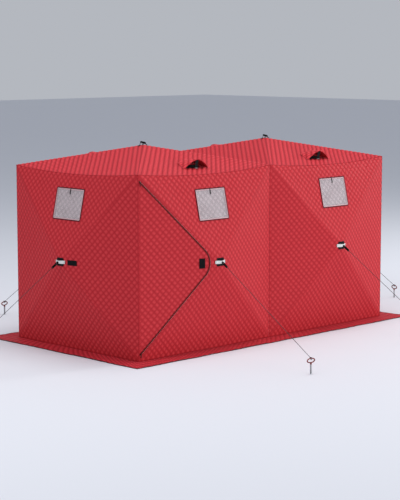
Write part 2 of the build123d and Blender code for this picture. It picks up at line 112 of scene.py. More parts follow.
floor_half = 60
floor_mesh = bpy.data.meshes.new("floor")
floor_mesh.from_pydata(
    [(-floor_half, -floor_half, 0), (floor_half, -floor_half, 0),
     (floor_half, floor_half, 0), (-floor_half, floor_half, 0)], [], [(0, 1, 2, 3)])
floor_material, _, floor_shader = new_material("pale_floor")
floor_shader.inputs["Base Color"].default_value = (0.70, 0.72, 0.78, 1)
floor_shader.inputs["Roughness"].default_value = 0.9
floor = link_object("floor", floor_mesh, floor_material)

world = bpy.data.worlds.new("pale_sky")
world.use_nodes = True
bpy.context.scene.world = world
sky = world.node_tree.nodes["Background"]
sky.inputs["Color"].default_value = (0.88, 0.92, 1.0, 1)
sky.inputs["Strength"].default_value = 0.52

add_lamp("overhead_lamp", (1.0, -1.0, 12.0), 6.0, 570, (1.0, 0.99, 0.97))
add_lamp("left_lamp", (-9.0, 0.0, 8.0), 6.0, 390, (1.0, 0.99, 0.97))
add_lamp("front_low_lamp", (2.0, -12.0, 1.2), 4.0, 625, (1.0, 0.99, 0.98))
add_lamp("key_lamp", (12.0, -3.6, 4.0), 2.2, 590, (1.0, 0.98, 0.95))


# Rods, hubs and corner cups
# Four sprung glass fibre rods a bay bend out to a moulded hub, and moulded cups hold their ends in
# the corners. The CAD's own solids are shown, and only get their surfaces here.
def link_or_set(tree, socket, value):
    if isinstance(value, bpy.types.NodeSocket):
        tree.links.new(value, socket)
    else:
        socket.default_value = value


def mix_colour(tree, factor, first, second, blend="MIX"):
    """The colour that a Mix node makes of two colours or colour outputs."""
    node = tree.nodes.new("ShaderNodeMix")
    node.data_type = "RGBA"
    node.blend_type = blend
    for key, value in (("Factor", factor), ("A", first), ("B", second)):
        link_or_set(tree, next(s for s in node.inputs if s.name == key and s.enabled), value)
    return next(s for s in node.outputs if s.enabled)


def noise(tree, vector, scale, detail=3.0):
    node = tree.nodes.new("ShaderNodeTexNoise")
    node.inputs["Scale"].default_value = scale
    node.inputs["Detail"].default_value = detail
    tree.links.new(vector, node.inputs["Vector"])
    return node.outputs["Fac"]


def spread(tree, value, low, high, to_low=0.0, to_high=1.0):
    node = tree.nodes.new("ShaderNodeMapRange")
    for key, number in zip(("From Min", "From Max", "To Min", "To Max"), (low, high, to_low, to_high)):
        link_or_set(tree, node.inputs[key], number)
    tree.links.new(value, node.inputs["Value"])
    return node.outputs["Result"]


def bump(tree, height, distance, strength=1.0, normal=None):
    node = tree.nodes.new("ShaderNodeBump")
    node.inputs["Distance"].default_value = distance
    node.inputs["Strength"].default_value = strength
    tree.links.new(height, node.inputs["Height"])
    if normal is not None:
        tree.links.new(normal, node.inputs["Normal"])
    return node.outputs["Normal"]


def object_coordinates(tree):
    return tree.nodes.new("ShaderNodeTexCoord").outputs["Object"]


def hard_surface(name, colour, second, roughness, metallic=0.0, grain=60.0, stretch=(1, 1, 1), shine=0.5):
    """Moulded, glass fibre or metal surface: two tones, uneven roughness and a fine grain."""
    material, tree, shader = new_material(name)
    mapping = tree.nodes.new("ShaderNodeMapping")
    mapping.inputs["Scale"].default_value = stretch
    tree.links.new(object_coordinates(tree), mapping.inputs["Vector"])
    place = mapping.outputs["Vector"]
    tone = spread(tree, noise(tree, place, grain, 4.0), 0.3, 0.7)
    tree.links.new(mix_colour(tree, tone, colour, second), shader.inputs["Base Color"])
    tree.links.new(spread(tree, tone, 0.0, 1.0, roughness, roughness + 0.15), shader.inputs["Roughness"])
    shader.inputs["Metallic"].default_value = metallic
    shader.inputs["Specular IOR Level"].default_value = shine
    tree.links.new(bump(tree, noise(tree, place, 4 * grain, 3.0), 0.0003, 0.5), shader.inputs["Normal"])
    return material


rod_fibre = hard_surface("grey_glass_fibre", (0.12, 0.12, 0.125, 1), (0.20, 0.20, 0.21, 1), 0.35,
                         grain=30.0)
hub_nylon = hard_surface("black_moulded_nylon", (0.012, 0.012, 0.013, 1), (0.022, 0.022, 0.024, 1), 0.45)
hub_names = ("hub_front", "hub_back", "hub_left", "hub_right_end", "hub_roof", "corner_cups")
for name, node in nodes.items():
    if name.startswith("rods") or name.startswith(hub_names):
        node.data.materials.clear()
        node.data.materials.append(rod_fibre if name.startswith("rods") else hub_nylon)


# The shelter's bays and gussets
# Eight bays, each drawn out at its middle by a hub. A bay is four gussets, sewn at their slopes.
# The roof's free edges are cut to hang in a shallow curve between the corners.
bay = 1.8
half_bay = bay / 2
eave = 1.76
wall_foot = 0.0033
wall_bulge = 0.195
roof_rise = 0.2
eave_sag = 0.043
ridge_sag = 0.030
BOTTOM, RIGHT, TOP, LEFT = range(4)
wall_half = (eave - wall_foot) / 2
wall_middle = (eave + wall_foot) / 2
wall_lean = wall_bulge / wall_half


class Gusset:
    """A triangle of cloth: x along its sewn edge from the middle, y towards its tip."""

    def __init__(self, middle, along, to_tip, outward, half_edge, sag):
        self.middle = Vector(middle)
        self.along = along
        tip = to_tip + outward
        self.slant = tip.length
        self.up = tip.normalized()
        self.normal = along.cross(self.up)
        self.half = half_edge
        self.sag = Vector(sag)
        self.depths = (0.8, 0.8)

    def outline(self):
        return [Vector((-self.half, 0)), Vector((self.half, 0)), Vector((0, self.slant))]

    def place(self, x, y, lift):
        """Points in the row frame for arrays of places on the gusset and lifts off it."""
        x, y, lift = np.broadcast_arrays(np.asarray(x, float), y, lift)
        flat = (np.multiply.outer(x, np.array(self.along)) + np.multiply.outer(y, np.array(self.up))
                + np.multiply.outer(lift, np.array(self.normal)) + np.array(self.middle))
        share = np.clip(1 - y / self.slant, 0, 1)
        across = np.clip(np.abs(x) / np.maximum(self.half * share, 1e-9), 0, 1)
        drop = (1 - across ** 2) * share ** 1.5
        return flat + np.multiply.outer(drop, np.array(self.sag))


class Bay:
    """A pyramid of four gussets round a hub; its outer tip is the origin of its fittings."""

    def __init__(self, centre, across, upright, half_y, bulge, sags):
        self.centre, self.across, self.upright = Vector(centre), Vector(across), Vector(upright)
        self.outward = self.across.cross(self.upright)
        self.half_y = half_y
        self.bulge = bulge
        self.tip = self.centre + self.outward * bulge
        self.gussets = []
        for (ox, oy), sag in zip([(0, -1), (1, 0), (0, 1), (-1, 0)], sags):
            out = self.across * ox + self.upright * oy
            along = self.across * -oy + self.upright * ox
            reach = half_bay if ox else half_y
            edge = half_y if ox else half_bay
            self.gussets.append(Gusset(self.centre + out * reach, along, out * -reach,
                                       self.outward * bulge, edge, sag))

    def place(self, x, y, lift):
        """Points round the tip, on the four gussets' outer faces, for arrays across and up."""
        x, y, lift = np.broadcast_arrays(np.asarray(x, float), y, lift)
        fall = np.maximum(np.abs(x) * self.bulge / half_bay, np.abs(y) * self.bulge / self.half_y)
        return (np.multiply.outer(x, np.array(self.across)) + np.multiply.outer(y, np.array(self.upright))
                + np.multiply.outer(lift - fall, np.array(self.outward)) + np.array(self.tip))


def roof_sag(x, y):
    """How an outer roof edge hangs: down, and out to meet the wall's lean."""
    return (x * eave_sag * wall_lean, y * eave_sag * wall_lean, -eave_sag)


none = (0, 0, 0)
ridge = (0, 0, -ridge_sag)
bays = {}
for name, x, y, across in (
        ("front_left", -half_bay, -half_bay, (1, 0, 0)), ("front_right", half_bay, -half_bay, (1, 0, 0)),
        ("back_left", -half_bay, half_bay, (-1, 0, 0)), ("back_right", half_bay, half_bay, (-1, 0, 0)),
        ("left_end", -bay, 0, (0, -1, 0)), ("right_end", bay, 0, (0, 1, 0))):
    bays[name] = Bay((x, y, wall_middle), across, (0, 0, 1), wall_half, wall_bulge, (none,) * 4)
walls = list(bays)
for name, x, sags in (
        ("roof_left", -half_bay, (roof_sag(0, -1), ridge, roof_sag(0, 1), roof_sag(-1, 0))),
        ("roof_right", half_bay, (roof_sag(0, -1), roof_sag(1, 0), roof_sag(0, 1), ridge))):
    bays[name] = Bay((x, 0, eave), (1, 0, 0), (0, 1, 0), half_bay, roof_rise, sags)
roofs = ["roof_left", "roof_right"]
# One family of seams is drawn deeper than the other, picked by how light falls on each gusset; on the two
# ends it is the other family, and the deeper family carries more painted valley shade. A higher power draws
# the padding further back from its seam.
for name in walls:
    for gusset in bays[name].gussets:
        leaning = gusset.along + gusset.up
        rising = leaning.dot(bays[name].across) * leaning.dot(bays[name].upright) > 0
        strong_seam_power, weak_seam_power = (0.9, 0.65) if name.endswith("end") else (1.4, 0.6)
        gusset.depths = (weak_seam_power, strong_seam_power) if rising == name.endswith("end") else (strong_seam_power, weak_seam_power)


# Quilted skin
# Three layers sewn through in diamonds: a red woven face, thin padding and a grey lining.
# The face stands up between the stitch lines, and each gusset is cut, closed and sewn at its rim.
def maths(tree, operation, first, second=0.0):
    node = tree.nodes.new("ShaderNodeMath")
    node.operation = operation
    link_or_set(tree, node.inputs[0], first)
    link_or_set(tree, node.inputs[1], second)
    return node.outputs[0]


def new_group(name, inputs, outputs):
    """A shader group with float or vector inputs and float outputs, and its two end nodes."""
    group = bpy.data.node_groups.new(name, "ShaderNodeTree")
    for key in inputs:
        kind = "NodeSocketVector" if key == "Vector" else "NodeSocketFloat"
        group.interface.new_socket(key, in_out="INPUT", socket_type=kind)
    for key in outputs:
        group.interface.new_socket(key, in_out="OUTPUT", socket_type="NodeSocketFloat")
    return group, group.nodes.new("NodeGroupInput"), group.nodes.new("NodeGroupOutput")


def use_group(tree, group, vector, **numbers):
    node = tree.nodes.new("ShaderNodeGroup")
    node.node_tree = group
    tree.links.new(vector, node.inputs["Vector"])
    for key, value in numbers.items():
        node.inputs[key.replace("_", " ")].default_value = value
    return node.outputs


def split_axes(tree, vector):
    node = tree.nodes.new("ShaderNodeSeparateXYZ")
    tree.links.new(vector, node.inputs[0])
    return node.outputs["X"], node.outputs["Y"]


# Weave: a height that rises over each thread, with warp and weft taking turns to lie on top.
plain_weave, entry, leave = new_group("plain_weave", ["Vector", "Thread width"], ["Height"])
threads = [maths(plain_weave, "MULTIPLY", maths(plain_weave, "DIVIDE", axis, entry.outputs["Thread width"]),
                 math.pi) for axis in split_axes(plain_weave, entry.outputs["Vector"])]
crossings = []
for this, other in (threads, threads[::-1]):
    crown = maths(plain_weave, "ABSOLUTE", maths(plain_weave, "SINE", this))
    on_top = spread(plain_weave, maths(plain_weave, "COSINE", other), -1.0, 1.0, 0.5, 1.0)
    crossings.append(maths(plain_weave, "MULTIPLY", crown, on_top))
plain_weave.links.new(maths(plain_weave, "MAXIMUM", *crossings), leave.inputs["Height"])

# Stitches: a mask of dashes along both families of quilting lines.
stitch_lines, entry, leave = new_group(
    "stitch_lines", ["Vector", "Line spacing", "Stitch length", "Thread width"], ["Mask"])
axes = split_axes(stitch_lines, entry.outputs["Vector"])
masks = []
for across_line, along_line in (axes, axes[::-1]):
    place = maths(stitch_lines, "DIVIDE", across_line, entry.outputs["Line spacing"])
    away = maths(stitch_lines, "MULTIPLY", maths(stitch_lines, "PINGPONG", place, 0.5),
                 entry.outputs["Line spacing"])
    on_line = maths(stitch_lines, "LESS_THAN", away, entry.outputs["Thread width"])
    step = maths(stitch_lines, "FRACT", maths(stitch_lines, "DIVIDE", along_line,
                                              entry.outputs["Stitch length"]))
    dash = maths(stitch_lines, "LESS_THAN", step, 0.7)
    masks.append(maths(stitch_lines, "MULTIPLY", on_line, dash))
stitch_lines.links.new(maths(stitch_lines, "MAXIMUM", *masks), leave.inputs["Mask"])


def cloth_coordinates(tree, turn=0.0):
    """The piece's own coordinates along its fabric, in metres, turned in the plane of the cloth."""
    source = tree.nodes.new("ShaderNodeUVMap")
    source.uv_map = "cloth"
    node = tree.nodes.new("ShaderNodeMapping")
    node.inputs["Rotation"].default_value = (0, 0, turn)
    tree.links.new(source.outputs["UV"], node.inputs["Vector"])
    return node.outputs["Vector"]


def quilted_cloth(name, crown, valley, thread, roughness, sheen, wear, thin=False):
    """Woven cloth sewn in diamonds: painted shade in the valleys and a painted highlight on the crowns,
    with stitches, weave and faint wear.

    Thin cloth has no modelled padding, so its diamonds are raised here.
    """
    material, tree, shader = new_material(name)
    body = object_coordinates(tree)
    if thin:
        rises = [maths(tree, "POWER", maths(tree, "ABSOLUTE", maths(tree, "SINE", maths(
            tree, "MULTIPLY", place, math.pi / diamond))), depth)
            for place, depth in zip(split_axes(tree, cloth_coordinates(tree)), (1.1, 0.5))]
        puff = maths(tree, "MULTIPLY", *rises)
    else:
        padded_face = tree.nodes.new("ShaderNodeAttribute")
        padded_face.attribute_name = "puff"
        puff = padded_face.outputs["Fac"]
    # Painted shade and highlight: the valley colour darkens the stitch lines as shade, and the crown colour
    # lightens the padded tops as highlight.
    raised = spread(tree, puff, 0.04, 0.92)
    base = mix_colour(tree, raised, valley, crown)
    broad = spread(tree, noise(tree, body, 1.6, 2.0), 0.35, 0.65, 0.0, wear)
    base = mix_colour(tree, broad, base, (0.5, 0.5, 0.5, 1), "SOFT_LIGHT")
    stitches = use_group(tree, stitch_lines, cloth_coordinates(tree), Line_spacing=diamond,
                         Stitch_length=0.0075, Thread_width=0.0008)
    base = mix_colour(tree, stitches["Mask"], base, thread)
    tree.links.new(base, shader.inputs["Base Color"])
    weave = use_group(tree, plain_weave, cloth_coordinates(tree, math.radians(45)), Thread_width=0.0009)
    crumple = bump(tree, noise(tree, body, 45.0, 4.0), 0.0016, 0.55)
    if thin:
        crumple = bump(tree, puff, 0.006, 1.0, crumple)
    raised_thread = bump(tree, stitches["Mask"], 0.0005, 0.6, crumple)
    tree.links.new(bump(tree, weave["Height"], 0.00025, 0.5, raised_thread), shader.inputs["Normal"])
    tree.links.new(spread(tree, broad, 0.0, 1.0, roughness, roughness + 0.08), shader.inputs["Roughness"])
    shader.inputs["Specular IOR Level"].default_value = 0.09
    shader.inputs["Sheen Weight"].default_value = sheen
    shader.inputs["Sheen Roughness"].default_value = 0.5
    return material


def plain_cloth(name, colour, second, roughness, thread_width=0.0009, crumple=0.0015, shine=0.25):
    """Woven cloth with no quilting: two tones by the broad noise, and its weave as a bump."""
    material, tree, shader = new_material(name)
    body = object_coordinates(tree)
    tone = spread(tree, noise(tree, body, 3.0, 4.0), 0.35, 0.65)
    tree.links.new(mix_colour(tree, tone, colour, second), shader.inputs["Base Color"])
    weave = use_group(tree, plain_weave, cloth_coordinates(tree), Thread_width=thread_width)
    soft = bump(tree, noise(tree, body, 30.0, 4.0), crumple, 0.6)
    tree.links.new(bump(tree, weave["Height"], 0.35 * thread_width, 0.6, soft), shader.inputs["Normal"])
    tree.links.new(spread(tree, tone, 0.0, 1.0, roughness, roughness + 0.1), shader.inputs["Roughness"])
    shader.inputs["Specular IOR Level"].default_value = shine
    shader.inputs["Sheen Weight"].default_value = 0.02
    return material


diamond = 0.046
red_quilt = quilted_cloth("red_quilted_cloth", (0.59, 0.044, 0.054, 1), (0.405, 0.018, 0.026, 1),
                          (0.42, 0.014, 0.024, 1), 0.60, 0.012, 0.12)
# A lit copy of the wall quilt: the same cloth, with lighter crowns as painted highlight and darker valleys
# as painted shade.
roof_quilt_painted_lighter = quilted_cloth("roof_cloth_painted_lighter", (0.76, 0.062, 0.078, 1), (0.30, 0.008, 0.015, 1),
                           (0.38, 0.012, 0.022, 1), 0.60, 0.02, 0.12)
grey_lining = quilted_cloth("grey_lining_cloth", (0.36, 0.36, 0.38, 1), (0.22, 0.22, 0.24, 1),
                            (0.28, 0.28, 0.30, 1), 0.7, 0.05, 0.2)
# Bound cut edges in near black-red; round the window panes this dark band is a painted shadow line along
# the pane's rim.
edge_binding_painted_dark = plain_cloth("edge_binding_painted_shadow", (0.055, 0.006, 0.010, 1), (0.075, 0.009, 0.014, 1), 0.80,
                       shine=0.10)
outer_steps = (0.0, 0.16, 0.5, 0.84)
lining_steps = (0.0, 0.5)
skin_lifts = (-0.0034, 0.0022, -0.0038, -0.0045)
roof_lifts = (-0.0034, 0.0034, -0.0038, -0.0045)
rim_fade = 0.010
wave_height = 0.0022
touching = 3e-6


def sides_of(outline):
    """The straight sides of an outline, each as its start and end."""
    return list(zip(outline, outline[1:] + outline[:1]))


def inward_of(start, end):
    turn = (end - start).normalized()
    return Vector((-turn.y, turn.x))


class PieceMesh:
    """Gathers the parts of a piece, with their coordinates along the cloth, into one mesh."""

    def __init__(self):
        self.points, self.cloth, self.puff = [], [], []
        self.faces, self.slots = [], []
        self.count = 0

    def add(self, points, faces, cloth=None, slot=0, puff=None):
        """cloth: a pair of metres for every point, or a list of them for every face.

        slot: one for all the faces, or a list with one for each.
        """
        start = self.count
        points = np.asarray(points, float)
        if cloth is None:
            cloth = points[:, :2]
        by_point = not isinstance(cloth, list)
        for index, face in enumerate(faces):
            self.faces.append([int(i) + start for i in face])
            self.cloth.append([cloth[i] for i in face] if by_point else cloth[index])
        self.slots += slot if isinstance(slot, list) else [slot] * len(faces)
        self.points.append(points)
        self.puff.append(np.ones(len(points)) if puff is None else puff)
        self.count += len(points)
        return start

    def add_mesh(self, mesh, slot):
        points = np.empty(3 * len(mesh.vertices))
        mesh.vertices.foreach_get("co", points)
        points = points.reshape(-1, 3)
        self.add(points, [face.vertices[:] for face in mesh.polygons], points[:, :2], slot)
        bpy.data.meshes.remove(mesh)

    def make(self, name, smooth_angle=40):
        mesh = bpy.data.meshes.new(name)
        mesh.from_pydata(np.concatenate(self.points).tolist(), [], self.faces)
        mesh.polygons.foreach_set("material_index", self.slots)
        puff = mesh.attributes.new("puff", "FLOAT", "POINT")
        puff.data.foreach_set("value", np.concatenate(self.puff).astype(np.float32))
        cloth = mesh.uv_layers.new(name="cloth")
        corners = np.array([pair for face in self.cloth for pair in face], np.float32)
        cloth.data.foreach_set("uv", corners.ravel())
        mesh.validate()
        mesh.polygons.foreach_set("use_smooth", [True] * len(mesh.polygons))
        mesh.set_sharp_from_angle(angle=math.radians(smooth_angle))
        return mesh


def diamond_grid(gusset, outline, steps):
    """Small faces along the stitch lines, over the whole of a panel and a little past it."""
    reach = math.hypot(gusset.half, gusset.slant) * 1.1
    count = math.ceil(reach / diamond)
    marks = diamond * np.array([k + step for k in range(-count, count) for step in steps])
    a, b = np.meshgrid(marks, marks, indexing="ij")
    x = (a - b) / math.sqrt(2)
    y = (a + b) / math.sqrt(2) + gusset.slant
    inside = np.ones_like(x, bool)
    for start, end in sides_of(outline):
        inward = inward_of(start, end)
        inside &= (x - start.x) * inward.x + (y - start.y) * inward.y > -diamond
    index = np.full(x.shape, -1)
    index[inside] = np.arange(inside.sum())
    quads = np.stack([index[:-1, :-1], index[1:, :-1], index[1:, 1:], index[:-1, 1:]], axis=-1)
    quads = quads.reshape(-1, 4)
    quads = quads[(quads >= 0).all(1)]
    mesh = bpy.data.meshes.new("grid")
    points = np.stack([x[inside], y[inside], np.zeros(inside.sum())], axis=1)
    mesh.from_pydata(points.tolist(), [], quads.tolist())
    grid = bmesh.new()
    grid.from_mesh(mesh)
    bpy.data.meshes.remove(mesh)
    return grid


def bisect(grid, start, inward, trim):
    everything = grid.verts[:] + grid.edges[:] + grid.faces[:]
    bmesh.ops.bisect_plane(grid, geom=everything, dist=1e-7, plane_co=(start.x, start.y, 0),
                           plane_no=(-inward.x, -inward.y, 0), clear_outer=trim)


def cut_grid(grid, outline, holes):
    """Trims the grid to its outline and takes the holes, convex and anticlockwise, out of it."""
    for start, end in sides_of(outline):
        bisect(grid, start, inward_of(start, end), True)
    for hole in holes:
        for start, end in sides_of(hole):
            bisect(grid, start, inward_of(start, end), False)
        inner = []
        for face in grid.faces:
            middle = face.calc_center_median().to_2d()
            if all((middle - start).dot(inward_of(start, end)) > 0 for start, end in sides_of(hole)):
                inner.append(face)
        bmesh.ops.delete(grid, geom=inner, context="FACES")
    bmesh.ops.remove_doubles(grid, verts=grid.verts[:], dist=touching)


def edge_distance(x, y, outlines):
    """Distance from places on a panel to its nearest cut edge."""
    best = np.full(len(x), 9.0)
    for outline in outlines:
        for start, end in sides_of(outline):
            turn = end - start
            share = ((x - start.x) * turn.x + (y - start.y) * turn.y) / turn.length_squared
            share = np.clip(share, 0, 1)
            away = np.hypot(x - start.x - share * turn.x, y - start.y - share * turn.y)
            best = np.minimum(best, away)
    return best


def padding(gusset, x, y):
    """Places counted along the two families of seams, and how far the padding swells between them."""
    a = (x + y - gusset.slant) / math.sqrt(2)
    b = (y - gusset.slant - x) / math.sqrt(2)
    swell = (np.abs(np.sin(math.pi * a / diamond)) ** gusset.depths[0]
             * np.abs(np.sin(math.pi * b / diamond)) ** gusset.depths[1])
    return np.stack([a, b], axis=-1), swell


def quilt_layer(gusset, outline, holes, steps, valley, crown):
    """One face of the quilt: its points, faces, places, padding and the points on its cut edge."""
    grid = diamond_grid(gusset, outline, steps)
    cut_grid(grid, outline, holes)
    grid.verts.index_update()
    flat = np.array([vert.co[:2] for vert in grid.verts])
    faces = [[vert.index for vert in face.verts] for face in grid.faces]
    rim = np.array([vert.index for vert in grid.verts if vert.is_boundary])
    grid.free()
    x, y = flat[:, 0], flat[:, 1]
    places, puff = padding(gusset, x, y)
    away = edge_distance(x, y, [outline] + list(holes))
    puff = puff * np.clip(away / rim_fade, 0, 1)
    wave = np.sin(7.3 * x + 2.1 * y + 0.7) * np.sin(5.1 * y - 3.4 * x + 1.9)
    wave = wave_height * wave * np.clip(away / 0.12, 0, 1) ** 2
    points = gusset.place(x, y, valley + (crown - valley) * puff + wave)
    return points, faces, flat, places, puff, rim


def edge_chain(flat, rim, start, end):
    """The cut edge's points that lie on one straight side, in order, and how far along it."""
    inward = inward_of(start, end)
    turn = (end - start).normalized()
    off_start = flat[rim] - np.array(start)
    away = np.abs(off_start @ np.array(inward))
    at = off_start @ np.array(turn)
    kept = (away < touching) & (at > -touching) & (at < (end - start).length + touching)
    order = np.argsort(at[kept])
    return rim[kept][order], at[kept][order]


def quilted_panel(piece, gusset, outline, holes=(), lifts=skin_lifts, slots=(0, 1, 2)):
    """Adds a closed panel: its face, its lining turned over, and a rim that joins their edges."""
    face = quilt_layer(gusset, outline, holes, outer_steps, lifts[0], lifts[1])
    back = quilt_layer(gusset, outline, holes, lining_steps, lifts[2], lifts[3])
    face_start = piece.add(face[0], face[1], face[3], slots[0], face[4])
    back_start = piece.add(back[0], [f[::-1] for f in back[1]], back[3], slots[1], back[4])
    rim = []
    for ring in [outline] + list(holes):
        for start, end in sides_of(ring):
            fore, fore_at = edge_chain(face[2], face[5], start, end)
            rear, rear_at = edge_chain(back[2], back[5], start, end)
            if len(fore) < 2 or len(rear) < 2 or np.diff(fore_at).max() > 2 * diamond:
                continue
            i = j = 0
            while i < len(fore) - 1 or j < len(rear) - 1:
                if j == len(rear) - 1 or i < len(fore) - 1 and fore_at[i + 1] <= rear_at[j + 1]:
                    found = [face_start + fore[i], back_start + rear[j], face_start + fore[i + 1]]
                    i += 1
                else:
                    found = [face_start + fore[i], back_start + rear[j], back_start + rear[j + 1]]
                    j += 1
                rim.append(found if ring is outline else found[::-1])
    piece.faces += rim
    piece.cloth += [[(0, 0), (0.001, 0), (0, 0.001)]] * len(rim)
    piece.slots += [slots[2]] * len(rim)


def rectangle(width, height, x, y):
    return [Vector((x - width / 2, y - height / 2)), Vector((x + width / 2, y - height / 2)),
            Vector((x + width / 2, y + height / 2)), Vector((x - width / 2, y + height / 2))]


def hanging_edge(gusset, chords=12):
    """The sliver of a wall's top gusset that the roof's hanging edge covers."""
    depth = eave_sag * math.hypot(1, wall_lean)
    curve = []
    for k in range(chords + 1):
        x = gusset.half * (1 - 2 * k / chords)
        curve.append(Vector((x, depth * (1 - (x / gusset.half) ** 2))))
    return [Vector((-gusset.half, -0.01)), Vector((gusset.half, -0.01))] + curve


def show(name, piece, materials, body, replaced=None, slot=None):
    """The piece as an object that moves with a body and stands for a CAD node."""
    made = link_object(name, piece.make(name), *materials)
    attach(made, body)
    if replaced is not None:
        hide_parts(replaced)
    return made


window_width = 0.400
window_height = 0.306
window_down = 0.184
pane_lap = 0.012
window_y = window_down + window_height / 2
window_hole = rectangle(window_width - 2 * pane_lap, window_height - 2 * pane_lap, 0, window_y)
vent_up = 0.153
vent_hole_back = 0.030
vent_hole_size = (0.180, 0.080)
vent_hole_y = vent_up + vent_hole_back + vent_hole_size[1] / 2
door_inset = 0.034
hinge_inset = 0.012
door_tip_radius = 0.170
door_gap = 0.005
door_gusset = bays["front_left"].gussets[LEFT]
door_half_angle = math.atan(door_gusset.half / door_gusset.slant)
door_cut_area = 0.60


def door_path(inset, hinge_line, steps=14):
    """The door's edge at an inset from the seams, from the upper hinge corner round its tip."""
    share = 1 - inset * math.hypot(1 / door_gusset.half, 1 / door_gusset.slant)
    corner = door_gusset.half * (share - hinge_line / door_gusset.slant)
    radius = door_tip_radius + door_inset - inset
    centre = door_gusset.slant * share - radius / math.sin(door_half_angle)
    turn = math.pi / 2 - door_half_angle
    arc = []
    for k in range(steps + 1):
        angle = turn - 2 * turn * k / steps
        arc.append(Vector((radius * math.sin(angle), centre + radius * math.cos(angle))))
    return [Vector((corner, hinge_line))] + arc + [Vector((-corner, hinge_line))]


for name, found in bays.items():
    node = name if name in roofs else "wall_" + name
    skin = PieceMesh()
    for side, gusset in enumerate(found.gussets):
        holes = []
        if name in walls and side == TOP:
            holes = [hanging_edge(gusset), window_hole]
        elif name in roofs and side in (BOTTOM, TOP):
            holes = [rectangle(*vent_hole_size, 0, vent_hole_y)]
        elif gusset is door_gusset:
            holes = [door_path(door_inset, hinge_inset)]
        quilted_panel(skin, gusset, gusset.outline(), holes, roof_lifts if name in roofs else skin_lifts)
    cloth = roof_quilt_painted_lighter if name in roofs else red_quilt
    quilt = show(node + "_quilt", skin, (cloth, grey_lining, edge_binding_painted_dark), "tent", node, slot="quilted_red")
    across = 2 * max(gusset.slant for gusset in found.gussets)
    area = sum(gusset.half * gusset.slant for gusset in found.gussets)
    area -= door_cut_area if name == "front_left" else 0


# Door flap
# The left gusset of the left front bay, cut free inside its seams and sewn to the wall along the
# corner, where it swings. A grey strip inside covers the sewn edge.
sewn_edge_gap = 0.0003
flap = PieceMesh()
flap_outline = door_path(door_inset + door_gap, hinge_inset + sewn_edge_gap)
quilted_panel(flap, door_gusset, flap_outline[-1:] + flap_outline[:-1])
quilt = show("door_flap_quilt", flap, (red_quilt, grey_lining, edge_binding_painted_dark), "door", "door_flap",
             slot="quilted_red")


def volume_sign(points, faces):
    """Negative where a closed part's faces point inwards."""
    total = 0.0
    middle = points.mean(0)
    for face in faces:
        corners = points[list(face)] - middle
        for k in range(1, len(face) - 1):
            total += np.dot(corners[0], np.cross(corners[k], corners[k + 1]))
    return total


def sweep(piece, path, sides, outs, section, slot=0, closed=False):
    """Adds a section carried along a path; its places are set off along the sides and the outs."""
    path, sides, outs = (np.asarray(v, float) for v in (path, sides, outs))
    if len(sides.shape) == 1:
        sides = np.tile(sides, (len(path), 1))
    if len(outs.shape) == 1:
        outs = np.tile(outs, (len(path), 1))
    section = np.asarray(section, float)
    if section.ndim == 2:
        section = np.tile(section, (len(path), 1, 1))
    rows = path[:, None] + sides[:, None] * section[:, :, :1] + outs[:, None] * section[:, :, 1:]
    n, m = rows.shape[:2]
    points = rows.reshape(-1, 3)
    along = np.concatenate([[0], np.cumsum(np.linalg.norm(np.diff(path, axis=0), axis=1))])
    around = np.linalg.norm(np.roll(section[0], -1, axis=0) - section[0], axis=1)
    around = np.concatenate([[0], np.cumsum(around)])
    faces, cloth = [], []
    for i in range(n if closed else n - 1):
        far = (i + 1) % n
        far_along = along[i + 1] if i + 1 < n else along[i] + np.linalg.norm(path[0] - path[i])
        for j in range(m):
            faces.append((i * m + j, i * m + (j + 1) % m, far * m + (j + 1) % m, far * m + j))
            cloth.append([(around[j], along[i]), (around[j + 1], along[i]),
                          (around[j + 1], far_along), (around[j], far_along)])
    if not closed:
        for ring, order in ((0, range(m - 1, -1, -1)), (n - 1, range(m))):
            faces.append(tuple(ring * m + j for j in order))
            cloth.append([tuple(section[ring][j]) for j in order])
    if volume_sign(points, faces) < 0:
        faces = [face[::-1] for face in faces]
        cloth = [pairs[::-1] for pairs in cloth]
    return piece.add(points, faces, cloth, slot)


strip_end_gap = 0.02
strip_marks = (-0.0125, -0.006, 0, 0.006, 0.0125)
strip_half_thick = 0.0004
strip_y = 0.0165
strip_lift = -0.0056
strip_bend = np.array([0.008, 0.018])
strip_bend_lift = -0.004
hinge_strip = PieceMesh()
strip_half = door_gusset.half * (1 - (door_inset + door_gap) * math.hypot(
    1 / door_gusset.half, 1 / door_gusset.slant)) - strip_end_gap
strip_path = door_gusset.place(np.linspace(-strip_half, strip_half, 60), strip_y, strip_lift)
sweep(hinge_strip, strip_path, door_gusset.up, door_gusset.normal,
      [(u, -strip_half_thick) for u in strip_marks] + [(u, strip_half_thick) for u in strip_marks[::-1]])
hinge_cover = link_object("door_sewn_strip", hinge_strip.make("door_sewn_strip"), grey_lining)
hinge_at = door_gusset.place(0.0, strip_bend, strip_bend_lift)
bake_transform(hinge_cover)


# Zip
# A tape on the flap and one on the wall, each with its row of teeth, meet round the door, and a
# slider waits at each end. The teeth lie in the gap, turn about.
def round_section(radius, sides=8):
    turn = 2 * math.pi / sides
    return [(radius * math.cos(turn * k), radius * math.sin(turn * k)) for k in range(sides)]


def flat_section(width, thickness, corner=0.0004):
    """A webbing's section, with its selvedges turned over at the corners."""
    w, t = width / 2, thickness / 2
    c = min(corner, 0.45 * thickness)
    return [(w - c, -t), (w, -t + c), (w, t - c), (w - c, t), (-w + c, t), (-w, t - c),
            (-w, -t + c), (-w + c, -t)]


def unit(vectors):
    """One direction, or a row of them, at length one."""
    vectors = np.asarray(vectors, float)
    return vectors / np.linalg.norm(vectors, axis=-1, keepdims=True)


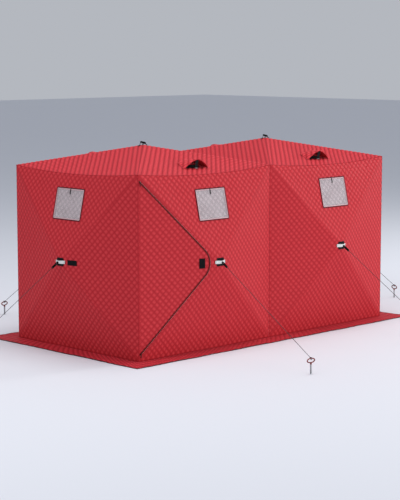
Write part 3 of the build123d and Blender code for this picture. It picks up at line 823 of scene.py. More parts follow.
def rounded_path(corners, radius, steps=4):
    """A path through corners, each but the ends turned in a short curve."""
    corners = [np.asarray(c, float) for c in corners]
    path = [corners[0]]
    for before, here, after in zip(corners, corners[1:], corners[2:]):
        to_before, to_after = before - here, after - here
        reach = min(radius, 0.45 * np.linalg.norm(to_before), 0.45 * np.linalg.norm(to_after))
        start, end = here + unit(to_before) * reach, here + unit(to_after) * reach
        for k in range(steps + 1):
            t = k / steps
            path.append((1 - t) ** 2 * start + 2 * t * (1 - t) * here + t ** 2 * end)
    path.append(corners[-1])
    return np.array(path)


def finer(path, step):
    """The same path with points no further apart than a step."""
    found = [path[0]]
    for start, end in zip(path, path[1:]):
        count = max(1, math.ceil(np.linalg.norm(end - start) / step))
        found += [start + (end - start) * k / count for k in range(1, count + 1)]
    return np.array(found)


def evenly(path, pitch, margin=0.0):
    """Places every pitch along a path, and the path's direction at each."""
    path = np.asarray(path, float)
    lengths = np.linalg.norm(np.diff(path, axis=0), axis=1)
    reached = np.concatenate([[0], np.cumsum(lengths)])
    at = np.arange(margin + pitch / 2, reached[-1] - margin, pitch)
    index = np.clip(np.searchsorted(reached, at) - 1, 0, len(lengths) - 1)
    share = (at - reached[index]) / lengths[index]
    places = path[index] + (path[index + 1] - path[index]) * share[:, None]
    return places, (path[index + 1] - path[index]) / lengths[index][:, None]


def directions(path):
    return unit(np.gradient(path, axis=0))


def flat_directions(gusset, turns):
    """Directions in the plane of a gusset, in the row frame."""
    return turns[:, :1] * np.array(gusset.along) + turns[:, 1:] * np.array(gusset.up)


# Copies: a small piece on every point, turned to the directions that the points carry.
copies = bpy.data.node_groups.new("copies_on_points", "GeometryNodeTree")
for key, kind in (("Geometry", "NodeSocketGeometry"), ("Piece", "NodeSocketObject")):
    copies.interface.new_socket(key, in_out="INPUT", socket_type=kind)
copies.interface.new_socket("Geometry", in_out="OUTPUT", socket_type="NodeSocketGeometry")
entry = copies.nodes.new("NodeGroupInput")
leave = copies.nodes.new("NodeGroupOutput")
on_points = copies.nodes.new("GeometryNodeInstanceOnPoints")
piece_info = copies.nodes.new("GeometryNodeObjectInfo")
copy_sizes = copies.nodes.new("FunctionNodeRandomValue")
copy_sizes.data_type = "FLOAT"
copy_sizes.inputs[2].default_value, copy_sizes.inputs[3].default_value = 0.94, 1.06
copy_sizes.inputs["Seed"].default_value = 3
turned = None
for key, axis in (("out", "Z"), ("along", "X")):
    stored = copies.nodes.new("GeometryNodeInputNamedAttribute")
    stored.data_type = "FLOAT_VECTOR"
    stored.inputs["Name"].default_value = key
    align = copies.nodes.new("FunctionNodeAlignRotationToVector")
    align.axis = axis
    if turned is not None:
        align.pivot_axis = "Z"
        copies.links.new(turned, align.inputs["Rotation"])
    copies.links.new(next(s for s in stored.outputs if s.enabled), align.inputs["Vector"])
    turned = align.outputs["Rotation"]
realize = copies.nodes.new("GeometryNodeRealizeInstances")
for start, end in (
        (entry.outputs["Geometry"], on_points.inputs["Points"]),
        (entry.outputs["Piece"], piece_info.inputs["Object"]),
        (piece_info.outputs["Geometry"], on_points.inputs["Instance"]),
        (turned, on_points.inputs["Rotation"]),
        (copy_sizes.outputs[1], on_points.inputs["Scale"]),
        (on_points.outputs["Instances"], realize.inputs["Geometry"]),
        (realize.outputs["Geometry"], leave.inputs["Geometry"])):
    copies.links.new(start, end)


class Copies:
    """Places gathered for one small piece, and the mesh that they make together."""

    def __init__(self):
        self.places, self.alongs, self.outs = [], [], []

    def add(self, places, alongs, outs):
        places = np.asarray(places, float)
        self.places.append(places)
        self.alongs.append(np.broadcast_to(alongs, places.shape))
        self.outs.append(np.broadcast_to(outs, places.shape))

    def mesh(self, small):
        carrier = bpy.data.meshes.new("places")
        carrier.from_pydata(np.concatenate(self.places).tolist(), [], [])
        for key, values in (("along", self.alongs), ("out", self.outs)):
            stored = carrier.attributes.new(key, "FLOAT_VECTOR", "POINT")
            stored.data.foreach_set("vector", np.concatenate(values).astype(np.float32).ravel())
        holder = link_object("places", carrier)
        pattern = link_object("pattern", small)
        modifier = holder.modifiers.new("copies", "NODES")
        modifier.node_group = copies
        socket = next(s for s in copies.interface.items_tree if s.name == "Piece")
        modifier[socket.identifier] = pattern
        bpy.context.view_layer.update()
        evaluated = holder.evaluated_get(bpy.context.evaluated_depsgraph_get())
        made = bpy.data.meshes.new_from_object(evaluated)
        bpy.data.objects.remove(holder)
        bpy.data.objects.remove(pattern)
        return made


def small_block(length, width, height):
    """A stitch or tooth: a low block, narrower at its top."""
    l, w, h = length / 2, width / 2, height / 2
    corners = [(x * reach, y * side, z) for z, reach, side in ((-h, l, w), (h, 0.7 * l, 0.6 * w))
               for x, y in ((-1, -1), (1, -1), (1, 1), (-1, 1))]
    faces = [(3, 2, 1, 0), (4, 5, 6, 7), (0, 1, 5, 4), (1, 2, 6, 5), (2, 3, 7, 6), (3, 0, 4, 7)]
    mesh = bpy.data.meshes.new("block")
    mesh.from_pydata(corners, [], faces)
    return mesh


stitch_pitch = 0.0065
stitch_size = (0.0046, 0.0009, 0.0007)


def sew(stitches, path, outs, pitch=stitch_pitch):
    """Stitches along a path in the row frame; outs is one direction or one for each path point."""
    places, alongs = evenly(path, pitch)
    outs = np.asarray(outs, float)
    if outs.ndim == 2:
        outs = outs[[int(np.argmin(((path - place) ** 2).sum(1))) for place in places]]
    stitches.add(places, alongs, outs)


zip_cloth = plain_cloth("zip_tape_cloth", (0.205, 0.011, 0.013, 1), (0.250, 0.017, 0.019, 1), 0.75,
                        thread_width=0.0012, shine=0.08)
zip_plastic = hard_surface("dark_zip_plastic", (0.050, 0.005, 0.005, 1), (0.070, 0.009, 0.009, 1), 0.45,
                           shine=0.15)
pale_thread = plain_cloth("pale_thread", (0.42, 0.38, 0.38, 1), (0.5, 0.46, 0.46, 1), 0.7,
                          thread_width=0.0004)
red_thread = plain_cloth("red_thread", (0.26, 0.010, 0.016, 1), (0.20, 0.008, 0.012, 1), 0.7,
                         thread_width=0.0004)
zip_centre = door_inset + door_gap / 2
zip_start = hinge_inset + 0.006
tape_width = 0.0066
tape_thickness = 0.0009
tape_offset = 0.0020 + tape_width / 2
tape_lift = 0.0011
tape_edge = 0.0022
tape_edge_radius = 0.0011
edge_lift = tape_lift + 0.0004
tooth_pitch = 0.0032
tooth_size = (0.0019, 0.0052, 0.0024)
tooth_offset = 0.0006
tooth_lift = tape_lift + 0.0006
zip_stitch_inset = 0.0026
zip_stitch_size = (0.0048, 0.0011, 0.0008)
slider_stations = (-0.008, -0.006, 0.005, 0.009)
slider_widths = (0.0080, 0.0115, 0.0125, 0.0090)
slider_heights = (0.004, 0.006, 0.006, 0.004)
slider_corner = 0.0015
slider_lift = 0.0028
bridge_lift = 0.0058
bridge_rise = 0.0028
bridge_foot = 0.005
bridge_top = 0.004
bridge_bend = 0.002
bridge_size = (0.0035, 0.0012)
slider_share = 0.35
pull_stations = (0.0, 0.004, 0.030, 0.036)
pull_widths = (0.004, 0.007, 0.009, 0.006)
pull_lift = 0.0020
pull_thickness = 0.0014
pull_corner = 0.0006
normal = np.array(door_gusset.normal)


def path_frame(inset, lift):
    """A path round the door in the row frame, with the direction away from the door at each point."""
    flat = finer(np.array([tuple(p) for p in door_path(inset, zip_start, 24)]), 0.04)
    turn = directions(flat)
    away = np.stack([turn[:, 1], -turn[:, 0]], axis=1)
    return door_gusset.place(flat[:, 0], flat[:, 1], lift), flat_directions(door_gusset, away)


def add_slider(piece, first, second, slot):
    """A slider at the zip's end, before the next place on it: its body, bridge and hanging pull."""
    spot = first + (second - first) * slider_share
    run = unit(second - first)
    cross = np.cross(normal, run)
    sections = [flat_section(w, t, slider_corner) for w, t in zip(slider_widths, slider_heights)]
    body_path = spot + np.outer(slider_stations, run) + normal * slider_lift
    sweep(piece, body_path, cross, normal, sections, slot)
    bridge = spot + normal * bridge_lift
    arch = [bridge - run * bridge_foot, bridge - run * bridge_top + normal * bridge_rise,
            bridge + run * bridge_top + normal * bridge_rise, bridge + run * bridge_foot]
    sweep(piece, rounded_path(arch, bridge_bend), cross, np.cross(run, cross), flat_section(*bridge_size),
          slot)
    hang = np.array([0.0, 0.0, -1.0])
    down = unit(hang - normal * np.dot(hang, normal))
    tab_path = bridge - run * bridge_top + np.outer(pull_stations, down) + normal * pull_lift
    sweep(piece, tab_path, np.cross(normal, down), normal,
          [flat_section(w, pull_thickness, pull_corner) for w in pull_widths], slot)


for body, sign, node in (("door", -1, "door_zip_flap_side"), ("tent", 1, "door_zip_frame_side")):
    half = PieceMesh()
    inset = zip_centre - sign * tape_offset
    sweep(half, *path_frame(inset, tape_lift), normal, flat_section(tape_width, tape_thickness))
    sweep(half, *path_frame(zip_centre - sign * tape_edge, edge_lift), normal,
          round_section(tape_edge_radius, 6), slot=1)
    teeth, stitches = Copies(), Copies()
    tooth_path, _ = path_frame(zip_centre - sign * tooth_offset, tooth_lift)
    places, alongs = evenly(tooth_path, tooth_pitch, margin=0.0 if sign < 0 else tooth_pitch / 2)
    teeth.add(places, alongs, normal)
    half.add_mesh(teeth.mesh(small_block(*tooth_size)), 1)
    stitch_path, _ = path_frame(inset - sign * zip_stitch_inset, tooth_lift)
    sew(stitches, stitch_path, normal, pitch=0.0060)
    # Painted highlight: stitches on the frame side are pale thread and on the flap side red, so one edge of
    # the zip reads lighter as if lit.
    half.add_mesh(stitches.mesh(small_block(*zip_stitch_size)), 2 if sign > 0 else 4)
    if sign > 0:
        line, _ = path_frame(zip_centre, tape_lift)
        add_slider(half, line[0], line[1], 3)
        add_slider(half, line[-1], line[-2], 3)
    show(node + "_tape", half, (zip_cloth, zip_plastic, pale_thread, zip_plastic, red_thread), body, node,
         slot="zip")


# Sewn patches
# Flat pieces of black cloth with rounded corners and turned edges, stitched through near the edge.
# The six hub patches follow the four gussets round a tip; two others are left blank, as shown.
def rounded_outline(width, height, corner, inset=0.0, steps=4):
    """Places round a rounded rectangle, anticlockwise and closed."""
    w, h, c = width / 2 - inset, height / 2 - inset, max(corner - inset, 0.0006)
    found = []
    for turn, (sx, sy) in enumerate(((1, 1), (-1, 1), (-1, -1), (1, -1))):
        for k in range(steps + 1):
            angle = math.pi / 2 * (turn + k / steps)
            found.append((sx * (w - c) + c * math.cos(angle), sy * (h - c) + c * math.sin(angle)))
    return np.array(found + found[:1])


def slab_faces(rows, columns):
    """Faces of a slab from a grid of places and its copy below: the top, the underside and the rim."""
    count = rows * columns
    index = np.arange(count).reshape(rows, columns)
    quads = np.stack([index[:-1, :-1], index[:-1, 1:], index[1:, 1:], index[1:, :-1]], -1).reshape(-1, 4)
    ring = np.concatenate([index[0, :-1], index[:-1, -1], index[-1, :0:-1], index[:0:-1, 0]])
    return ([tuple(q) for q in quads], [tuple(q[::-1] + count) for q in quads],
            [(a, a + count, b + count, b) for a, b in zip(ring, np.roll(ring, -1))])


def sewn_patch(piece, width, height, corner, place, low, high, cell=0.006, pucker=0.0):
    """Adds a closed thin slab with rounded corners, laid by a place function of x, y and lift."""
    nx, ny = (max(4, round(size / cell)) for size in (width, height))
    spaced = np.linspace(-height / 2, height / 2, ny + 1)
    corner_rows = height / 2 - corner * (1 - np.cos(np.linspace(0, math.pi / 2, 4)))
    spaced = np.unique(np.round(np.concatenate([spaced, corner_rows, -corner_rows]), 6))
    past = np.clip(np.abs(spaced) - (height / 2 - corner), 0, corner)
    half = width / 2 - corner + np.sqrt(np.maximum(corner ** 2 - past ** 2, 0))
    x = half[:, None] * np.linspace(-1, 1, nx + 1)[None, :]
    y = np.repeat(spaced[:, None], nx + 1, axis=1)
    edge = np.minimum(half[:, None] - np.abs(x), height / 2 - np.abs(y))
    rise = pucker * np.sin(210 * x + 1.3) * np.sin(190 * y + 0.4) * np.clip(edge / 0.01, 0, 1)
    turned_down = np.clip(1 - edge / 0.0015, 0, 1) * 0.35 * (high - low)
    x, y = x.ravel(), y.ravel()
    points = np.concatenate([place(x, y, (high + rise - turned_down).ravel()), place(x, y, low)])
    upper, under, rims = slab_faces(*edge.shape)
    faces = upper + under + rims
    if volume_sign(points, faces) < 0:
        faces = [face[::-1] for face in faces]
    piece.add(points, faces, np.tile(np.stack([x, y], 1), (2, 1)))


def sewn_border(stitches, width, height, corner, place, lift, inset=0.004):
    path = finer(rounded_outline(width, height, corner, inset), 0.01)
    lifted = place(path[:, 0], path[:, 1], lift)
    sew(stitches, lifted, unit(place(path[:, 0], path[:, 1], lift + 0.01) - lifted))


def place_on(gusset, x, y, turned=False):
    """A place function round a spot on a gusset; turned swaps its two directions."""
    if turned:
        return lambda u, v, lift: gusset.place(x - np.asarray(v), y + np.asarray(u), lift)
    return lambda u, v, lift: gusset.place(x + np.asarray(u), y + np.asarray(v), lift)


black_patch = plain_cloth("black_patch_cloth", (0.0045, 0.0045, 0.0055, 1),
                          (0.009, 0.009, 0.010, 1), 0.70, thread_width=0.0016, shine=0.06)
black_thread = plain_cloth("black_thread", (0.03, 0.03, 0.03, 1), (0.05, 0.05, 0.05, 1), 0.6,
                           thread_width=0.0004)
patch_size = (0.096, 0.080, 0.010)
patch_lift = (0.0024, 0.0038)
end_patch_aside = 0.148
solid_zip_tape = 0.006
tip_patch_space = 0.045
patches = PieceMesh()
stitches = Copies()
for name in walls:
    sewn_patch(patches, *patch_size, bays[name].place, *patch_lift, cell=0.008, pucker=0.0003)
    sewn_border(stitches, *patch_size, bays[name].place, patch_lift[1])
patches.add_mesh(stitches.mesh(small_block(*stitch_size)), 1)
made = show("hub_patch_cloths", patches, (black_patch, black_thread), "tent", "hub_patches",
            slot="black_webbing")

end_gusset = bays["left_end"].gussets[RIGHT]
end_spot = end_gusset.slant * (1 - end_patch_aside / half_bay)
tip_patch_size = (0.066, 0.096, 0.003)
door_tip_y = max(point.y for point in door_path(door_inset, hinge_inset))
tip_patch_y = door_tip_y - door_gap - solid_zip_tape - tip_patch_space - tip_patch_size[0] / 2
for made_name, node, body, gusset, spot, size in (
        ("end_patch_cloth", "end_patch", "tent", end_gusset, end_spot, (0.110, 0.050, 0.003)),
        ("door_tip_patch_cloth", "door_tip_patch", "door", door_gusset, tip_patch_y, tip_patch_size)):
    blank = PieceMesh()
    stitches = Copies()
    place = place_on(gusset, 0.0, spot, turned=True)
    sewn_patch(blank, *size, place, *patch_lift, pucker=0.0003)
    sewn_border(stitches, *size, place, patch_lift[1], inset=0.003)
    blank.add_mesh(stitches.mesh(small_block(*stitch_size)), 1)
    made = show(made_name, blank, (black_patch, black_thread), body, node, slot="black_webbing")


# Inner seam tapes
# A grey tape covers each sloping seam on the inside, from the corner cup to the hub.
seam_tape = plain_cloth("grey_seam_tape", (0.30, 0.30, 0.32, 1), (0.22, 0.22, 0.24, 1), 0.8)
seam_tape_width = 0.018
seam_tape_thickness = 0.0010
seam_tape_lift = -0.0062
for made_name, names, ending in (("wall_seam_tapes", walls, "wall_"), ("roof_seam_tapes", roofs, "")):
    tapes = PieceMesh()
    tape_total = 0.0
    share = np.linspace(0.06, 0.93, 26)
    for name in names:
        for gusset in bays[name].gussets:
            path = gusset.place(gusset.half * (1 - share), gusset.slant * share, seam_tape_lift)
            turn = path[-1] - path[0]
            tape_total += np.linalg.norm(turn)
            side = unit(np.cross(bays[name].outward, turn))
            sweep(tapes, path, side, np.cross(unit(turn), side),
                  flat_section(seam_tape_width, seam_tape_thickness))
    made = show(made_name, tapes, (seam_tape,), "tent")


# Windows
# A clear vinyl pane with a bound edge, coloured dark as a painted shadow line, and a pale hem is sewn
# over each hole. A grey quilted cover closes it from inside, and a short black tab hangs from the middle of
# its top edge.
clear_vinyl, tree, shader = new_material("clear_vinyl")
milk = spread(tree, noise(tree, object_coordinates(tree), 9.0, 3.0), 0.35, 0.65)
tree.links.new(mix_colour(tree, milk, (0.56, 0.50, 0.52, 1), (0.66, 0.60, 0.62, 1)),
               shader.inputs["Base Color"])
shader.inputs["Alpha"].default_value = 0.34
shader.inputs["Specular IOR Level"].default_value = 0.22
tree.links.new(spread(tree, milk, 0.0, 1.0, 0.38, 0.50), shader.inputs["Roughness"])
tree.links.new(bump(tree, noise(tree, object_coordinates(tree), 14.0, 2.0), 0.002, 0.35),
               shader.inputs["Normal"])
pale_hem = plain_cloth("pale_window_hem", (0.55, 0.35, 0.37, 1), (0.50, 0.31, 0.33, 1), 0.6)
grey_cover = quilted_cloth("grey_cover_cloth", (0.655, 0.515, 0.536, 1), (0.249, 0.175, 0.185, 1),
                           (0.339, 0.268, 0.278, 1), 0.7, 0.05, 0.2)
black_webbing = plain_cloth("black_webbing", (0.004, 0.004, 0.0045, 1), (0.007, 0.007, 0.0075, 1),
                            0.75, thread_width=0.0024, crumple=0.0005, shine=0.05)
pane_corner = 0.012
pane_lifts = (0.0009, 0.0017)
pane_stitch_lift = 0.0031
# Inset, lift, width and slot of the bound edge, dark as a painted shadow line, and of the pale hem inside
# it.
pane_bands = ((0.0005, 0.0036, 0.0085, 2), (0.0095, 0.0023, 0.0105, 3))
cover_lifts = (-0.0064, -0.0047, -0.0068, -0.0074)
tab_down = np.array([0.0, 0.016, 0.032, 0.048, 0.058])
tab_lifts = np.array([0.0026, 0.0030, 0.0036, 0.0034, 0.0028])
tab_size = (0.012, 0.0018)
tab_stitch_rows = (0.004, 0.009)
tab_stitch_span = np.array([-0.004, 0.004])
tab_stitch_lift = 0.0042
tab_stitch_size = (0.003, 0.0008, 0.0006)
band_thickness = 0.0012
panes, covers, tabs = PieceMesh(), PieceMesh(), PieceMesh()
pane_stitches, tab_stitches = Copies(), Copies()
for name in walls:
    gusset = bays[name].gussets[TOP]
    pane_place = place_on(gusset, 0.0, window_y)
    sewn_patch(panes, window_width, window_height, pane_corner, pane_place, *pane_lifts, cell=0.016)
    sewn_border(pane_stitches, window_width, window_height, pane_corner, pane_place, pane_stitch_lift,
                inset=0.010)
    for inset, lift, width, slot in pane_bands:
        ring = finer(rounded_outline(window_width, window_height, pane_corner, inset), 0.04)[:-1]
        step = np.roll(ring, -1, axis=0) - np.roll(ring, 1, axis=0)
        away = flat_directions(gusset, unit(np.stack([step[:, 1], -step[:, 0]], axis=1)))
        sweep(panes, pane_place(ring[:, 0], ring[:, 1], lift), away, gusset.normal,
              flat_section(width, band_thickness), slot=slot, closed=True)
    quilted_panel(covers, gusset, rectangle(window_width, window_height, 0, window_y),
                  lifts=cover_lifts, slots=(0, 0, 0))
    sweep(tabs, gusset.place(0.0, window_down + tab_down, tab_lifts), gusset.along, gusset.normal,
          flat_section(*tab_size))
    for down in tab_stitch_rows:
        line = gusset.place(tab_stitch_span, window_down + down, tab_stitch_lift)
        sew(tab_stitches, line, gusset.normal, pitch=0.004)
panes.add_mesh(pane_stitches.mesh(small_block(*stitch_size)), 1)
tabs.add_mesh(tab_stitches.mesh(small_block(*tab_stitch_size)), 1)
made = show("window_vinyl", panes, (clear_vinyl, pale_thread, edge_binding_painted_dark, pale_hem), "tent", "window_panes",
            slot="clear_vinyl")
made = show("window_inner_covers", covers, (grey_cover,), "tent", "window_covers", slot="grey_cover")
show("window_tab_webbing", tabs, (black_webbing, pale_thread), "tent", "window_tabs", slot="black_webbing")


# Pull straps
# A silver-white strap is sewn down each side of every wall hub and arches over its bolt; the roof
# hubs have narrower black ones. A person pulls on them to pop the bay out.
silver_strap = plain_cloth("silver_reflective_strap", (0.74, 0.76, 0.75, 1), (0.60, 0.63, 0.62, 1),
                           0.35, thread_width=0.0030, crumple=0.0008, shine=0.5)
strap_length = 0.134
strap_width = 0.031
strap_thickness = 0.0016
strap_foot = 0.015
strap_top = 0.036
strap_arch = 0.016
strap_bend = 0.010
strap_rest = 0.0046
strap_crease = 0.0007
crease_reach = 0.03
strap_selvedge = 0.004
roof_strap_length = 0.124
roof_strap_width = 0.025
roof_strap_foot = 0.015
roof_strap_arch = 0.028
roof_strap_drop = 0.002
roof_strap_rest = 0.0056
roof_strap_crown = [(-0.026, roof_strap_arch - roof_strap_drop), (0.040, 0.013)]
roof_strap_bend = 0.009
roof_stitch_rows = (-0.008, 0.008)
strap_stitch_lift = 0.0009
strap_stitch_pitch = 0.005
strap_seam = (0.002, 0.003)
strap_stitch_size = (0.0036, 0.0009, 0.0007)


def strap_line(found, half, knee, rest, crown, bend, step):
    """A strap's path over a hub: down the slope to each foot, and through the crown's places."""
    slope = found.bulge / half_bay
    foot = [(-half, rest - half * slope), (-knee, rest - knee * slope)]
    profile = foot + crown + [(-x, z) for x, z in foot[::-1]]
    flat = finer(rounded_path(profile, bend), step)
    path = np.array(found.tip) + np.outer(flat[:, 0], found.across) + np.outer(flat[:, 1], found.outward)
    return flat[:, 0], path, directions(path)


straps, stitches = PieceMesh(), Copies()
for name in walls:
    found = bays[name]
    half = strap_length / 2
    knee = half - strap_foot
    crown = [(-strap_top / 2, strap_arch), (strap_top / 2, strap_arch)]
    places, path, turn = strap_line(found, half, knee, strap_rest, crown, strap_bend, 0.006)
    side, outward = np.array(found.upright), np.array(found.outward)
    outs = np.cross(turn, side)
    outs *= np.sign(outs @ outward)[:, None]
    sections = []
    for x in places:
        crease = strap_crease * math.cos(min(abs(x) / crease_reach, 1) * math.pi / 2)
        base = flat_section(strap_width - 4 * crease, strap_thickness)
        sections.append([(u, v + crease * (1 - 2 * abs(u) / strap_width)) for u, v in base])
    sweep(straps, path, side, outs, sections)
    for sign in (-1, 1):
        near, far = sign * (knee + strap_seam[0]), sign * (half - strap_seam[1])
        up = strap_width / 2 - strap_selvedge
        box = [(near, -up), (far, -up), (far, up), (near, up)]
        for (ax, ay), (bx, by) in list(zip(box, box[1:] + box[:1])) + [(box[0], box[2]), (box[1], box[3])]:
            line = found.place(np.array([ax, bx]), 0.0, strap_rest + strap_stitch_lift)
            line = line + np.outer([ay, by], side)
            sew(stitches, line, outward, pitch=strap_stitch_pitch)
straps.add_mesh(stitches.mesh(small_block(*strap_stitch_size)), 1)
show("hub_strap_webbing", straps, (silver_strap, black_thread), "tent", "hub_pull_straps",
     slot="reflective_strap")

# A roof strap twists over its hub: its steep leg's width runs mostly along the bay, and the width of
# its long slope stands mostly upright.
straps, stitches = PieceMesh(), Copies()
for name in roofs:
    found = bays[name]
    slope = found.bulge / half_bay
    half = roof_strap_length / 2
    knee = half - roof_strap_foot
    places, path, turn = strap_line(found, half, knee, roof_strap_rest, roof_strap_crown,
                                    roof_strap_bend, 0.003)
    across, outward, upright = (np.array(v) for v in (found.across, found.outward, found.upright))
    edge_on = 0.82 * across + 0.57 * upright
    face_on = 0.45 * upright + 0.89 * outward
    stations = (-knee - 0.004, -knee + 0.003, -0.029, -0.022, knee - 0.006, knee + 0.004)
    side = (np.outer(np.interp(places, stations, (0, 1, 1, 0, 0, 0)), edge_on)
            + np.outer(np.interp(places, stations, (0, 0, 0, 1, 1, 0)), face_on)
            + np.outer(np.interp(places, stations, (1, 0, 0, 0, 0, 1)), upright))
    side = unit(side - turn * (side * turn).sum(1)[:, None])
    sweep(straps, path, side, np.cross(turn, side), flat_section(roof_strap_width, strap_thickness))
    for sign in (-1, 1):
        for row in roof_stitch_rows:
            line = np.array([found.tip + found.across * (sign * a)
                             + found.outward * (roof_strap_rest + strap_stitch_lift - a * slope)
                             + found.upright * row
                             for a in (knee + strap_seam[0], half - strap_seam[1])])
            sew(stitches, line, outward, pitch=strap_stitch_pitch)
straps.add_mesh(stitches.mesh(small_block(*strap_stitch_size)), 1)
show("roof_strap_webbing", straps, (black_webbing, pale_thread), "tent", "roof_pull_straps",
     slot="black_webbing")


# Guy ropes and ice anchors
# A folded webbing tail on each wall's strap holds a taut rope, tied round the red ring of an
# anchor that is screwed into the ice.
rope_yarn = plain_cloth("grey_rope_yarn", (0.050, 0.050, 0.055, 1), (0.030, 0.030, 0.034, 1), 0.80,
                        thread_width=0.0016, crumple=0.0003)
red_coating = hard_surface("red_coated_steel", (0.21, 0.010, 0.010, 1), (0.13, 0.008, 0.008, 1), 0.36,
                           grain=90.0)
shaft_steel = hard_surface("zinc_plated_steel", (0.34, 0.35, 0.37, 1), (0.22, 0.22, 0.23, 1), 0.35,
                           metallic=0.9, grain=70.0, stretch=(1, 1, 0.15))
ring_width = 0.098
ring_height = 0.048
ring_rod = 0.0045
shaft_radius = 0.007
shaft_height = 0.100
tail_length = 0.084
tail_width = 0.022
tail_bore = 0.014
rope_radius = 0.0025
rope_eye = 0.011
strand_turn = 0.024
knot_pitch = 0.0042
knot_radius = 0.0036
knot_yarn = 0.0020
tail_fold = 0.0026
tail_seams = (0.022, 0.026)
tail_seam_half = 0.008
tail_thickness = 0.0016
tail_stitch_size = (0.003, 0.0009, 0.0007)
ring_coat = 0.0010
seat_gap = 0.0003
weld_levels = (-0.012, -0.010, 0.001, 0.006)
weld_radii = (0.0076, 0.0088, 0.0088, 0.0062)
shaft_levels = (0.0, 0.004, 0.030, 0.060, shaft_height - 0.013, shaft_height - 0.0125)
shaft_radii = [shaft_radius * share for share in (1.0, 1.0, 1.0, 1.0, 1.0, 0.96)]
screw_turns = 2.5
screw_rise = 0.030
screw_section = [(-0.0018, -0.001), (0.0018, -0.001), (0.0005, 0.0024), (-0.0005, 0.0024)]
anchors = {"front_left": (-1.043, -2.371), "front_right": (1.045, -2.100), "back_left": (-1.060, 2.090),
           "back_right": (1.082, 2.371), "left_end": (-2.930, 0.210), "right_end": (2.930, -0.210)}


def strand_section(radius, turn, sides=12):
    """A rope's section: three rounded strands, turned by an angle."""
    found = []
    for k in range(sides):
        angle = 2 * math.pi * k / sides
        r = radius * (0.80 + 0.20 * abs(math.cos(1.5 * angle)))
        found.append((r * math.cos(angle + turn), r * math.sin(angle + turn)))
    return found


def circle_path(centre, first, second, radius, count=24):
    turn = 2 * math.pi * np.arange(count) / count
    outs = np.outer(np.cos(turn), first) + np.outer(np.sin(turn), second)
    return np.asarray(centre) + radius * outs, outs


tails, ropes, rings, shafts = PieceMesh(), PieceMesh(), PieceMesh(), PieceMesh()
tail_stitches = Copies()
for name in walls:
    found = bays[name]
    strap_face = np.array(found.tip + found.outward * (strap_arch + strap_thickness / 2 + 0.0005))
    x, y = anchors[name]
    centre = np.array([x, y, shaft_height + seat_gap + ring_height / 2])
    ring_top = centre + np.array([0, 0, ring_height / 2 - ring_rod])
    along = unit(ring_top - strap_face)
    level = unit(np.cross(along, [0, 0, 1]))
    wide = np.cross(level, along)

    outward = np.array(found.outward)
    turn_centre = strap_face + along * (tail_length - tail_fold)
    front = [strap_face + outward * 0.001, strap_face + along * 0.02, turn_centre]
    bend = [turn_centre + level * tail_fold * math.cos(a) + along * tail_fold * math.sin(a)
            for a in (math.pi * k / 6 for k in range(1, 6))]
    loop = [p + level * tail_fold for p in front] + bend + [p - level * tail_fold for p in front[::-1]]
    loop = finer(np.array(loop), 0.012)
    sweep(tails, loop, wide, np.cross(directions(loop), wide), flat_section(tail_width, tail_thickness))
    for d in tail_seams:
        for sign in (-1, 1):
            line = strap_face + along * d + level * sign * (tail_fold + 0.0011)
            ends = np.array([line - wide * tail_seam_half, line + wide * tail_seam_half])
            sew(tail_stitches, ends, level * sign, pitch=0.004)

    eye_centre = ring_top + along * (rope_eye - rope_radius - ring_rod - seat_gap)
    start = strap_face + along * (tail_length - tail_bore)
    end = eye_centre - along * rope_eye
    length = np.linalg.norm(end - start)
    at = np.linspace(0, length, math.ceil(length / 0.003) + 1)
    turns = at / strand_turn * 2 * math.pi
    sweep(ropes, start + np.outer(at, along), level, wide, [strand_section(rope_radius, t) for t in turns])
    path, outs = circle_path(eye_centre, along, wide, rope_eye, 36)
    turns = np.arange(36) / 36 * 2 * math.pi * 3
    sweep(ropes, path, level, outs, [strand_section(rope_radius, t) for t in turns], closed=True)
    for knot in (end - along * 0.001, start + along * (tail_bore - 0.002)):
        for step in range(3):
            centre_here = knot - along * (knot_pitch * step - 0.004)
            path, outs = circle_path(centre_here, level, wide, knot_radius, 14)
            sweep(ropes, path, along, outs, round_section(knot_yarn, 7), closed=True)

    flat_out = unit([along[0], along[1], 0])
    ring_side = np.cross(flat_out, [0, 0, 1])
    turn = 2 * math.pi * np.arange(48) / 48
    half_wide, half_high = ring_width / 2 - ring_rod, ring_height / 2 - ring_rod
    path = (centre + np.outer(half_wide * np.cos(turn), ring_side)
            + np.outer(half_high * np.sin(turn), [0, 0, 1]))
    outs = np.outer(half_high * np.cos(turn), ring_side) + np.outer(half_wide * np.sin(turn), [0, 0, 1])
    sweep(rings, path, flat_out, unit(outs), round_section(ring_rod + ring_coat, 12), closed=True)
    weld = np.array([x, y, shaft_height])
    for piece, base, levels, radii in (
            (rings, weld, weld_levels, weld_radii),
            (shafts, np.array([x, y, 0.0]), shaft_levels, shaft_radii)):
        sweep(piece, base + np.outer(levels, [0, 0, 1]), [1, 0, 0], [0, 1, 0],
              [round_section(r, 16) for r in radii])
    turns = np.linspace(0, screw_turns * 2 * math.pi, 60)
    thread_out = np.stack([np.cos(turns), np.sin(turns), np.zeros(60)], axis=1)
    thread = (np.array([x, y, 0.003]) + (shaft_radius + 0.0004) * thread_out
              + np.outer(screw_rise * turns / turns[-1], [0, 0, 1]))
    sweep(shafts, thread, [0, 0, 1], thread_out, screw_section)

tails.add_mesh(tail_stitches.mesh(small_block(*tail_stitch_size)), 1)
for made_name, piece, node, slot, materials in (
        ("rope_tail_webbing", tails, "rope_tails", "black_webbing", (black_webbing, pale_thread)),
        ("guy_rope_strands", ropes, "guy_ropes", "rope", (rope_yarn,)),
        ("anchor_ring_loops", rings, "anchor_rings", "ring", (red_coating,)),
        ("anchor_shaft_screws", shafts, "anchor_shafts", "shaft", (shaft_steel,))):
    show(made_name, piece, materials, "tent", node, slot=slot)


